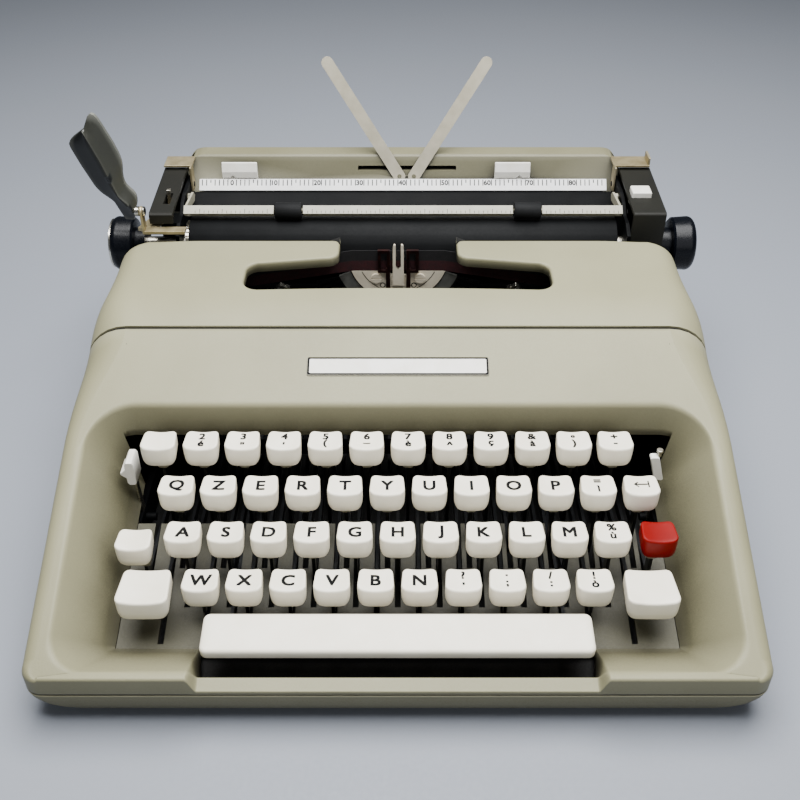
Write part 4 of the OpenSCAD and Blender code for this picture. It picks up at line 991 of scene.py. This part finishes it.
@dataclass
class Keyboard:
    """Caps with legends, the space bar, the selectors and the levers that share a node with a cap."""

    pitch: float = 19.0
    rise: float = 10.3
    first_y: float = 38.0
    first_z: float = 40.0
    cap_w: float = 16.3
    cap_d: float = 12.6
    cap_h: float = 11.5
    dish_depth: float = 1.2
    fulcrum: Flat = (285.0, 15.5)
    lever_t: float = 1.5
    lever_h: float = 5.0
    lever_bend: float = 180.0
    lever_rise: float = 0.0515
    post_half: float = 2.5
    bar_rise: float = 0.0088
    bar_arm: float = 3.875
    widen: float = 1.06

    def row_y(self, row: int) -> float:
        """Depth of the front of a row, counted from the lowest."""
        return self.first_y + row * self.pitch

    def row_z(self, row: int) -> float:
        """Height of the top of a row, counted from the lowest."""
        return self.first_z + row * self.rise

    def dished(self, x: float, w: float) -> float:
        """How far the top of a cap lies below its corners at a distance from its middle."""
        return self.dish_depth * (1 - min(1.0, abs(x) / (w / 2)) ** 2)

    def cap(self, shape: Shape, x: float, y: float, top: float, w: float, d: float, peg_x: float) -> None:
        """Adds a sculpted cap and the peg under it.

        Args:
            shape: What it is added to.
            x: The middle of the cap.
            y: The front of the cap.
            top: The height of its corners.
            w: Its width.
            d: Its depth.
            peg_x: The middle of its peg.
        """
        low = top - self.cap_h
        taper, corner, edge = 0.055 * w, 5.2, 1.0

        def ring(inset: float, lift: Callable[[float, float], float]) -> Row:
            """One level of the cap, drawn in by inset, with its height from lift."""
            row = []
            corners = (-w / 2 + inset, inset), (w / 2 - inset, d - inset)
            outline = rounded_rectangle(*corners, max(0.6, 2.8 - inset), 5)
            for u, v in self.denser(outline, 60):
                share = v / d
                px = u * (1 - taper / (w / 2) * share)
                belly = 0.55 * (1 - min(1.0, abs(u) / (w / 2)) ** 2) * (1 - share) ** 3
                row.append((x + px, y + v - belly, lift(u, share)))
            return row

        def skirt(u: float, share: float) -> float:
            """Height of the lower edge, which sweeps up at the sides."""
            out = max(0.0, abs(u) - (w / 2 - corner)) / corner
            return low + corner * 0.86 * (1 - math.sqrt(max(0.0, 1 - min(1.0, out) ** 2))) + 0.8 * share

        def face(u: float, share: float) -> float:
            """Height of the dished top."""
            return top - self.dished(u, w)

        rows = [ring(2.4, lambda u, s: skirt(u, s) + 0.9), ring(1.0, lambda u, s: skirt(u, s) + 0.1),
                ring(0.45, lambda u, s: skirt(u, s) + 0.2), ring(0.12, lambda u, s: skirt(u, s) + 0.8),
                ring(0.0, lambda u, s: mix(skirt(u, s), face(u, s), 0.35)),
                ring(0.0, lambda u, s: face(u, s) - 1.3)]
        for a in (25, 50, 75, 90):
            c, h = 1 - math.cos(math.radians(a)), math.sin(math.radians(a))
            rows.append(ring(edge * c, lambda u, s, h=h: face(u, s) - edge + edge * h))
        middle = (x, y + d / 2)
        rim = rows[-1]
        for share in (0.75, 0.5, 0.25):
            level = []
            for p in rim:
                px, py = mix(middle[0], p[0], share), mix(middle[1], p[1], share)
                level.append((px, py, top - self.dished(px - x, w)))
            rows.append(level)
        shape.loft(rows, ends="both")
        peg = []
        for half_w, half_d, z in ((2.1, 2.9, low - 4.0), (2.5, 3.2, low - 3.4), (2.7, 3.6, low + 1.5)):
            outline = rounded_rectangle((-half_w, -half_d), (half_w, half_d), 0.9, 4)
            peg.append([(peg_x + u, y + d / 2 + v, z) for u, v in outline])
        shape.loft(peg, tone=1, ends="both")

    @staticmethod
    def denser(outline: Sequence[Flat], count: int) -> list[Flat]:
        """Spaces points evenly on a closed outline."""
        return along([*outline, outline[0]], count + 1)[:-1]

    def lever(self, shape: Shape, x: float, y: float, low: float) -> None:
        """Adds a flat lever from the fulcrum to a post under a cap."""
        fy, fz = self.fulcrum
        half, post, bend = self.lever_h / 2, self.post_half, self.lever_bend
        foot = fz - half + max(0.0, bend - y) * self.lever_rise
        outline = [(fy, fz - half), (fy, fz + half), (bend, fz + half), (y + post, foot + self.lever_h),
                   (y + post, low + 3), (y - post, low + 3), (y - post, foot), (bend, fz - half)]
        shape.prism(outline, 0, x - self.lever_t / 2, x + self.lever_t / 2, 2)
        hub = [(2.55, -0.8), (4.4, -0.8), (4.5, -0.7), (4.5, 0.7), (4.4, 0.8), (2.55, 0.8)]
        shape.turn(hub, (x, fy, fz), 0, 24, 2)

    def legend(self, shape: Shape, words: str, x: float, y: float, top: float, height: float,
               stroke: float = 0.25) -> None:
        """Lays letters into the dish of a cap."""
        points, faces = lettering(words, height, self.widen, stroke)
        laid = [(x + p[0], y + p[1], top - self.dished(p[0], self.cap_w) + 0.06 + p[2]) for p in points]
        shape.add(laid, faces)

    def key_row(self, name: str, body: str, row: int, places: Sequence[float]) -> None:
        """Makes the caps of one row."""
        shape = Shape()
        for place_x in places:
            x = place_x * self.pitch
            self.cap(shape, x, self.row_y(row), self.row_z(row), self.cap_w, self.cap_d, x)
        shape.make(name, body, [KEY_PLASTIC, PEG_PLASTIC], [name.replace("_dressed", "")])

    def single_key(self, name: str, body: str, node: str, caps: Sequence[tuple], finish: Finish) -> None:
        """Makes keys whose caps and levers are in one node.

        Args:
            name: The piece's name.
            body: The body that it moves with.
            node: The node that it replaces.
            caps: For each cap its middle, front, top, width, depth and lever place.
            finish: What the cap is made of.
        """
        shape = Shape()
        for x, y, top, w, d, lever_x in caps:
            self.cap(shape, x, y, top, w, d, lever_x)
            self.lever(shape, lever_x, y + d / 2, top - self.cap_h)
        shape.make(name, body, [finish, PEG_PLASTIC, BLACK_STEEL], [node])

    def build_caps(self) -> None:
        """Makes the four banks of caps and every single key."""
        p = self.pitch
        for row, (body, first, words) in enumerate(KEY_ROWS):
            places = [first + i for i, word in enumerate(words) if word]
            self.key_row(body + "_caps_dressed", body, row, places)
        size = (self.cap_w, self.cap_d)
        singles = [
            ("middle_key_dressed", "middle_key", "centre_key", 0.0, 1, 0.0, 0.0),
            ("backspace_key_dressed", "backspace", "backspace_key", 5.75, 2, 0.0, 0.5),
            ("margin_key_dressed", "margin_key", "margin_release_key", -5.75, 3, 0.0, -0.5),
            ("lock_key_dressed", "lock", "shift_lock_key", -6.0, 1, -5.0, -3.5)]
        for name, body, node, place_x, row, lift, aside in singles:
            caps = [(place_x * p + aside, self.row_y(row), self.row_z(row) + lift, *size, place_x * p)]
            self.single_key(name, body, node, caps, KEY_PLASTIC)
        caps = [(6 * p + 1.5, self.row_y(1), self.row_z(1), *size, 6 * p)]
        self.single_key("tab_key_dressed", "tabulator", "tab_key", caps, RED_PLASTIC)
        caps = [(side * 5.75 * p, self.first_y - 7, self.first_z, 23.0, 19.0, side * 5.5 * p)
                for side in (-1, 1)]
        self.single_key("shift_keys_dressed", "shifts", "shift_keys", caps, KEY_PLASTIC)

    def build_legends(self) -> None:
        """Prints the letters and signs on the caps."""
        large, small, fine = 8.2, 5.6, 0.2
        middle, upper, lower = 6.0, 8.9, 4.0
        for row, (body, first, words) in enumerate(KEY_ROWS):
            shape = Shape()
            for i, word in enumerate(words):
                x, y, top = (first + i) * self.pitch, self.row_y(row), self.row_z(row)
                if len(word) == 1:
                    self.legend(shape, word, x, y + middle, top, large)
                elif word:
                    self.legend(shape, word[0], x, y + upper, top, small, fine)
                    self.legend(shape, word[1], x, y + lower, top, small, fine)
            shape.print_on("legends_" + body, body)
        shape = Shape()
        self.legend(shape, "H", 0, self.row_y(1) + middle, self.row_z(1), large)
        shape.print_on("legend_middle_key", "middle_key")
        self.build_arrow()

    def build_arrow(self) -> None:
        """Prints the arrow between two bars on the backspace key."""
        shape = Shape()
        x, y, top = 5.75 * self.pitch, self.row_y(2) + 6.6, self.row_z(2)
        bars = [((-4.2, -2.0), (-3.6, 2.0)), ((3.6, -2.0), (4.2, 2.0)), ((-2.6, -0.32), (3.8, 0.32))]
        for low, high in bars:
            self.stroke(shape, rectangle(low, high), x, y, top)
        for s in (-1, 1):
            self.stroke(shape, [(-2.9, 0.0), (-0.9, s * 1.7), (-0.4, s * 1.3), (-2.0, 0.0)], x, y, top)
        shape.print_on("legend_backspace", "backspace")

    def stroke(self, shape: Shape, outline: Sequence[Flat], x: float, y: float, top: float) -> None:
        """Lays a flat printed stroke into the dish of a cap."""
        rows = []
        for lift in (0.03, 0.08):
            rows.append([(x + u, y + v, top - self.dished(u, self.cap_w) + lift) for u, v in outline])
        shape.loft(rows, ends="both")

    def build_space_bar(self) -> None:
        """The long bar with its two arms."""
        length, depth, height, tilt = 166.0, 19.0, 5.5, math.radians(7.5)
        front, top, corner = 13.0, 29.5, 3.0
        lean = leaning((0, front, top), tilt)
        shape = Shape()
        levels = [(3.0, -height + 0.4), (0.9, -height), (0.3, -height + 0.25), (0.0, -height + 1.0),
                  (0.0, -1.6), (0.2, -0.75), (0.7, -0.22), (1.5, 0.0), (4.0, 0.05), (7.0, 0.0)]
        rows = []
        for inset, z in levels:
            corners = (-length / 2 + inset, inset), (length / 2 - inset, depth - inset)
            outline = rounded_rectangle(*corners, max(1.0, corner - inset), 7)
            rows.append([tuple(lean @ Vector((u, v, z))) for u, v in outline])
        shape.loft(rows, ends="both")
        middle = front + depth / 2
        low = top + depth / 2 * math.sin(tilt) - height * math.cos(tilt)
        half, post, bend = self.lever_h / 2, self.post_half, self.lever_bend
        neck_y, neck_z = self.first_y - post, (17.6, 23.0)
        fy, fz = self.fulcrum
        foot, bar_foot = (fz - half + (bend - y) * self.bar_rise for y in (middle, neck_y))
        outline = [(fy, fz - half), (fy, fz + half), (bend, fz + half), (neck_y, bar_foot + self.lever_h),
                   (neck_y, neck_z[1]), (middle + post, neck_z[1]), (middle + post, low + 3),
                   (middle - post, low + 3), (middle - post, neck_z[0]), (neck_y - post, neck_z[0]),
                   (neck_y - post, mix(foot, bar_foot, 0.8)), (bend, fz - half)]
        hub = [(2.55, -0.8), (4.5, -0.7), (4.5, 0.7), (2.55, 0.8)]
        for side in (-1, 1):
            x = side * self.bar_arm * self.pitch
            shape.prism(outline, 0, x - self.lever_t / 2, x + self.lever_t / 2, 1)
            shape.turn(hub, (x, fy, fz), 0, 24, 1)
        shape.make("space_bar_dressed", "bar", [KEY_PLASTIC, BLACK_STEEL], ["space_bar"])

    def build_selectors(self) -> None:
        """The two small white selectors at the ends of the number row, on their steel stalks."""
        pivot_y, pivot_z, middle_y, stalk_top = 104.0, 18.0, 101.5, 48.0
        left = [(-122.5, 47.5), (-122.5, 58.5), (-123.4, 59.8), (-126.0, 59.8), (-126.9, 58.5),
                (-126.9, 55.6), (-129.4, 53.6), (-129.4, 52.4), (-126.9, 50.4), (-126.9, 47.5),
                (-126.0, 46.2), (-123.4, 46.2)]
        right = [(121.0, 46.6), (124.6, 46.0), (125.2, 46.8), (121.8, 59.4), (120.9, 60.1),
                 (118.2, 60.1), (117.6, 59.3)]
        arm = [(pivot_y - 2.4, pivot_z), (pivot_y + 2.4, pivot_z), (middle_y + 1.6, stalk_top),
               (middle_y - 1.6, stalk_top)]
        for side, outline, half, stalk in (("left", left, 5.2, -124.5), ("right", right, 1.8, 122.5)):
            shape = Shape()
            shape.prism(outline, 1, middle_y - half, middle_y + half)
            shape.prism(arm, 0, stalk - 0.6, stalk + 0.6, 1)
            if side == "right":
                shape.turn([(1.7, -0.6), (1.7, 0.3), (1.3, 0.6)], (122.0, middle_y + 1.2, 62.2), 2, 20, 1)
                shape.prism(rectangle((121.2, 59.0), (122.8, 62.0)), 1, middle_y, middle_y + 1.6, 1)
            shape.make(side + "_selector_lever", side + "_switch", [WHITE_PLASTIC, NICKEL],
                       [side + "_selector"], bevel=0.4)

    def build(self) -> None:
        """Makes every piece of the keyboard."""
        self.build_caps()
        self.build_selectors()
        self.build_legends()
        self.build_space_bar()

    def dress(self) -> None:
        """Gives the levers their finish."""
        for row in ("number", "upper", "home", "lower"):
            dress(row + "_row_levers", BLACK_STEEL)


@dataclass
class TypeBasket:
    """The segment, the type bars, the ribbon and its spools."""

    pivot_r: float = 24.0
    bar_l: float = 52.0
    lean: float = 20.0
    rest: float = 35.0
    step: float = 4.0
    bars_a_side: int = 21
    bar_t: float = 0.9
    strike: Flat = (243.5, 81.7)

    def basket(self) -> Matrix:
        """The place of the leaning circle of pivots, in millimetres."""
        reach = math.sqrt(self.bar_l ** 2 - self.pivot_r ** 2)
        a = math.radians(self.lean)
        middle = (0, self.strike[0] + reach * math.sin(a), self.strike[1] - reach * math.cos(a))
        return Matrix.Translation(middle) @ Matrix.Rotation(a, 4, "X")

    def bar(self, shape: Shape, angle: float) -> None:
        """Adds one type bar with its slug.

        Args:
            shape: What it is added to.
            angle: Its place in the fan, in degrees.
        """
        move = self.basket() @ Matrix.Rotation(math.radians(angle), 4, "Z")
        move = move @ Matrix.Translation((0, -self.pivot_r, 0))
        move = move @ Matrix.Rotation(math.radians(-self.rest), 4, "X")
        end = -self.bar_l
        heel = arc((0.0, 0.0), 3.0, 60, -120, 9)
        outline = [(end + 2, 1.6), (end + 8, 1.2), (-20, 1.8), (-4, 1.95), *heel, (-8, -1.9),
                   (end + 8, -1.2), (end + 2, -2.0)]
        shape.prism(outline, 0, -self.bar_t / 2, self.bar_t / 2, 0, move)
        slug = [(-3.7, -1.6), (-3.2, 1.9), (-2.6, 2.6), (-0.9, 2.6), (-0.6, 2.0), (0.6, 2.0), (0.9, 2.6),
                (2.9, 2.6), (3.7, 1.8), (3.7, -2.0), (-3.0, -2.0)]
        shape.prism([(end + y, z) for y, z in slug], 0, -1.2, 1.2, 1, move)

    def build(self) -> None:
        """Makes the fan of type bars, the plate over the segment and the two-coloured ribbon."""
        finishes, slot = [BLACK_STEEL, BRIGHT_NICKEL], "lever_steel"
        shape = Shape()
        for i in range(-self.bars_a_side, self.bars_a_side + 1):
            if i:
                self.bar(shape, i * self.step)
        shape.make("typebar_fan", "type_basket", finishes, ["typebars"])
        shape = Shape()
        self.bar(shape, 0)
        shape.make("middle_typebar", "centre_bar", finishes, ["centre_typebar"])
        self.build_guide()
        self.build_ribbon()

    def build_guide(self) -> None:
        """The bright plate over the segment with its arcs and pins, the fork, and the ring beside it."""
        front, hub = self.strike[0] + 2.7, self.strike[1]
        shape = Shape()

        def bow(radius: float, start: float, end: float) -> list[Flat]:
            """An arc about the strike point, between two angles in degrees."""
            return arc((0.0, hub), radius, start, end, 16)

        def sheet(points: Iterable[Flat], side: int, low: float, high: float, tone: int = 0) -> None:
            """Adds an upright sheet on one side, with its faces this far behind the plate's front."""
            shape.prism(flipped(points, side), 1, front + low, front + high, tone)

        half = [(3.3, 70.4), (6.4, 70.4), (8.2, 73.0), *bow(28.4, -17.8, -90)]
        sheet(half[:-1] + flipped(reversed(half)), 1, 0.0, 2.0)
        prong = [(1.45, 76.5), (3.2, 72.0), (3.3, 64.2), (0.0, 64.2), (0.0, 75.2)]
        tip = [(3.1, 86.0), (2.9, 89.6), (2.4, 90.5), (1.7, 90.5), (1.45, 89.6)]
        for side in (-1, 1):
            sheet(prong[:2] + tip, side, -1.5, 0.0)
            sheet(prong, side, -1.5, 0.0)
            for radius, width, start in ((22.9, 0.45, -24), (28.6, 0.5, -18.5)):
                edge, shrink = bow(radius, start, -80), 1 - width / radius
                inner = [(x * shrink, hub + (z - hub) * shrink) for x, z in edge]
                sheet(edge + inner[::-1], side, -0.05, 0.05, 3)
            sheet(bow(28.7, -20, -80) + bow(36.0, -80, -20), side, 0.5, 2.0, 1)
            sheet(bow(36.2, -21, -80) + bow(50.0, -80, -19), side, 0.9, 2.0, 2)
            for angle in spread(-23, -59, 10):
                a, b = (arc((0.0, hub), r, angle - 0.9, angle + 0.9, 2) for r in (37.5, 49.0))
                sheet((*a, *b[::-1]), side, 0.6, 1.0, 3)
            for radius, proud, tone in ((1.7, 0.06, 3), (1.1, 0.08, 0)):
                eye = arc((side * 9.0, 63.6), radius, 0, 345, 24)
                shape.prism(eye, 1, front - proud, front, tone)
        shape.make("type_guide_plate", "type_basket", [SEGMENT_STEEL, RING_STEEL, BLACK_STEEL, INK],
                   ["type_guide"])

    def build_ribbon(self) -> None:
        """The ribbon from spool to spool, black above and red below."""
        front_y, low, width, thick = self.strike[0] + 2.8, 73.2, 13.0, 0.3
        spool, wound = (104.0, 205.0), 17.05
        bend = (26.0, front_y)
        way = math.atan2(bend[1] - spool[1], bend[0] - spool[0])
        leave = way - math.acos(wound / math.dist(spool, bend))
        start = (spool[0] + wound * math.cos(leave), spool[1] + wound * math.sin(leave))
        half = [start, *along([start, bend], 8)[1:-1], bend, (18.0, front_y), (6.0, front_y)]
        path = half + flipped(reversed(half))
        shape = Shape()
        for tone, z0, z1 in ((1, low, low + width / 2), (0, low + width / 2, low + width)):
            front = [[(x, y, z) for x, y in path] for z in (z0, z1)]
            back = [[(x, y + thick, z) for x, y in path] for z in (z1, z0)]
            shape.loft([*front, *back, front[0]], closed=False, tone=tone)
        shape.make("ribbon_band", "chassis", [BLACK_RIBBON, RED_RIBBON], ["ink_ribbon"])

    def dress(self) -> None:
        """Gives the CAD nodes of the basket their finishes."""
        dress_all([(RING_STEEL, 0.0, "type_segment"), (SEGMENT_STEEL, 0.0, "segment_screws"),
                   (STAINED_STEEL, 0.2, "ribbon_vibrator"), (FRAME_PAINT, 0.0, "ribbon_platforms"),
                   (BLACK_STEEL, 0.0, "left_ribbon_spool right_ribbon_spool")])


@dataclass
class Carriage:
    """The carriage: platen and knobs, bail, ruler, paper table, end covers and levers."""

    unit: float = 2.54
    zero: float = -99.3
    ruler_y: float = 298.2
    ruler_z: float = 97.6
    ruler_tilt: float = 44.4
    ruler_half: float = 121.5
    ruler_w: float = 7.0
    bail: Flat = (262.5, 102.6)
    bail_tilt: float = 38.0

    def build_scales(self) -> None:
        """Prints ticks and numbers on the ruler and ticks on the bail."""
        shape = Shape()
        lean = leaning((0, self.ruler_y, self.ruler_z), math.radians(self.ruler_tilt))
        high, half_tick = self.ruler_w - 0.4, 0.28
        for i in range(-8, 89):
            x = self.zero + i * self.unit
            low = high - (2.0 if i % 5 == 0 else 3.7)
            if i % 10 == 0 and i >= 0:
                points, faces = lettering(str(i), 4.2, 1.0, 0.12)
                flat = [(x + p[0], high - 1.9 + p[1], 0.03 + p[2]) for p in points]
                shape.add([tuple(lean @ Vector(p)) for p in flat], faces)
            elif abs(x - CARRIAGE_X) < self.ruler_half - 1:
                shape.prism(rectangle((x - half_tick, low), (x + half_tick, high)), 2, 0.01, 0.05, 0, lean)
        shape.print_on("ruler_print", "carriage")
        shape = Shape()
        lean = leaning((0, *self.bail), math.radians(self.bail_tilt))
        start, half_tick, rollers, clear = -2.3, 0.14, (-64.75, 70.25), 9.5
        for i in range(-6, 94):
            x = self.zero + i * self.unit
            if min(abs(x - CARRIAGE_X - c) for c in rollers) < clear:
                continue
            end = start + (2.6 if i % 5 == 0 else 1.6)
            shape.prism(rectangle((x - half_tick, start), (x + half_tick, end)), 2, 1.71, 1.75, 0, lean)
        shape.print_on("bail_print", "bail")

    def build_knob_cap(self) -> None:
        """The bright turned disc in the end of the left knob."""
        low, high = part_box("left_knob")
        y = ((low.y + high.y) / 2 - FRONT_Y) / MM
        z = (low.z + high.z) / 2 / MM
        shape = Shape()
        r = (high.z - low.z) / 2 / MM - 1.3
        profile = [(r, 0.6), (r, -0.3), (r - 0.4, -0.55), (r - 1.8, -0.55), (r - 2.2, -0.3),
                   (2.0, -0.3), (1.5, -0.5), (0.4, -0.5)]
        shape.turn(profile, ((low.x - CENTRE_X) / MM, y, z), 0, 48)
        shape.make("left_knob_disc", "platen_roll", [BRIGHT_NICKEL])

    def build_return_lever(self) -> None:
        """The dark paddle of the return lever: a creased sheet on a nickel pin with two heads."""
        x0, y0, z0 = -143.7 + CARRIAGE_X, 247.0, 110.4
        left = [(-4.7, -5.3), (-9.5, -5.0), (-11.1, -1.3), (-14.2, 6.1), (-20.0, 11.0), (-22.6, 14.6),
                (-27.9, 27.0), (-31.9, 38.0), (-31.8, 39.7), (-30.3, 41.9), (-23.4, 46.7)]
        crease = [(-3.4, 0.5), (-6.0, 5.0), (-10.3, 9.8), (-13.1, 18.8), (-16.5, 29.9), (-22.9, 47.0)]
        right = [(-2.4, 2.6), (-1.4, 6.0), (-1.8, 10.4), (-6.5, 15.8), (-7.0, 20.6), (-6.1, 27.6),
                 (-6.6, 32.3), (-9.3, 40.3), (-14.5, 52.5), (-17.0, 55.8), (-19.4, 54.2), (-22.6, 47.6)]
        count = 30
        shape = Shape()
        # The left half takes LEVER_SHADE, painted shade, and the right half the lighter enamel, painted light,
        # for the two sides of the crease.
        for side, tone in ((left, 2), (right, 0)):
            rows = []
            for b, end in zip(along(crease, count), along(side, count)):
                front = []
                for t in spread(0, 1, 5):
                    y = y0 - 2.7 + 3.0 * t ** 0.8
                    front.append((x0 + mix(b[0], end[0], t), y, z0 + mix(b[1], end[1], t)))
                rows.append(front + [(x, y + 2.4, z) for x, y, z in reversed(front)])
            shape.loft(rows, tone=tone, ends="both")
        shape.turn([(1.4, -6.0), (1.4, 2.0)], (x0, y0, z0), 0, 20, 1)
        for low, high in ((-3.6, -0.9), (0.9, 2.0)):
            head = [(1.6, low), (2.3, low), (2.7, low + 0.4), (2.7, high - 0.4), (2.3, high), (1.6, high)]
            shape.turn(head, (x0, y0, z0), 0, 32, 1)
        shape.make("return_lever_paddle", "hand_lever", [LEVER_LIT_ENAMEL, BRIGHT_NICKEL, LEVER_SHADE],
                   ["return_lever"], sharp=22)

    def build(self) -> None:
        """Makes the new pieces of the carriage."""
        self.build_scales()
        self.build_knob_cap()
        self.build_return_lever()

    def dress(self) -> None:
        """Gives the CAD nodes of the carriage their finishes."""
        dress_all([
            (FRAME_PAINT, 0.3, "carriage_frame"), (DARK_ABS, 1.8, "left_end_cover right_end_cover"),
            (TABLE_SHADE_AND_HIGHLIGHT_PAINT, 0.8, "paper_table"), (SCALE_WHITE, 0.0, "margin_scale"),
            (FRAME_PAINT, 0.3, "paper_deflector"), (WHITE_PLASTIC, 0.4, "left_margin_stop right_margin_stop"),
            (SATIN_STEEL, 0.2, "left_paper_arm right_paper_arm"), (CREAM_ENAMEL, 0.3, "paper_bail"),
            (SOFT_RUBBER, 0.4, "bail_rollers"), (PLATEN_RUBBER, 0.4, "platen"), (NICKEL, 0.0, "platen_shaft"),
            (KNOB_PHENOLIC, 0.0, "left_knob right_knob"), (NICKEL, 0.0, "ratchet_wheel"),
            (BROWN_STEEL, 0.3, "line_space_arm"), (BROWN_STEEL, 0.2, "paper_release_lever left_release_lever"),
            (WHITE_PLASTIC, 0.8, "release_button"), (NICKEL, 0.3, "line_space_selector")])


@dataclass
class Studio:
    """Camera, floor and soft light."""

    camera_at: Point = (1.0, -248.4, 368.4)
    pitch: float = 38.2
    lens: float = 45.0
    sensor: float = 36.0
    sky: float = 0.12

    def camera(self) -> None:
        """Sets the camera at the photograph's viewing angle."""
        data = bpy.data.cameras.new("camera")
        data.lens = self.lens
        data.sensor_width = self.sensor
        camera = bpy.data.objects.new("camera", data)
        camera.location = place(self.camera_at)
        camera.rotation_euler = (math.radians(90 - self.pitch), 0, 0)
        bpy.context.scene.collection.objects.link(camera)
        bpy.context.scene.camera = camera

    def floor(self) -> None:
        """Lays the pale floor."""
        size = 6.0
        mesh = bpy.data.meshes.new("floor")
        corners = [(x, y, 0) for x, y in rectangle((-size, -size), (size, size))]
        mesh.from_pydata(corners, [], [(0, 1, 2, 3)])
        finish = Finish("pale matt backdrop", "#868B94", "#848992", 0.6, mottle=400, grain=2, depth=0.001)
        mesh.materials.append(finish.material())
        floor = bpy.data.objects.new("floor", mesh)
        bpy.context.scene.collection.objects.link(floor)

    def lights(self) -> None:
        """Hangs a large soft light above and a weaker one in front, under a dim sky."""
        world = bpy.data.worlds.new("studio")
        world.use_nodes = True
        background = world.node_tree.nodes["Background"]
        background.inputs["Color"].default_value = linear("#E6EAF0")
        background.inputs["Strength"].default_value = self.sky
        bpy.context.scene.world = world
        lamps = [("overhead", (0.03, 0.03, 0.78), (0.01, -0.02, 0), 0.75, 23.0),
                 ("fill", (0.4, -1.2, 0.7), (0, 0, 0.05), 1.0, 4.0)]
        for name, where, target, size, power in lamps:
            data = bpy.data.lights.new(name, "AREA")
            data.size = size
            data.energy = power
            lamp = bpy.data.objects.new(name, data)
            lamp.location = where
            lamp.rotation_euler = (Vector(target) - Vector(where)).to_track_quat("-Z", "Y").to_euler()
            bpy.context.scene.collection.objects.link(lamp)

    def build(self) -> None:
        """Makes the whole studio."""
        self.camera()
        self.floor()
        self.lights()


def main() -> None:
    """Builds and dresses every sub-assembly in order."""
    logging.basicConfig(level=logging.INFO, format="%(message)s")
    Studio().build()
    for part in (Case(), Keyboard(), TypeBasket(), Carriage()):
        part.build()
        part.dress()


if __name__ == "__main__":
    main()
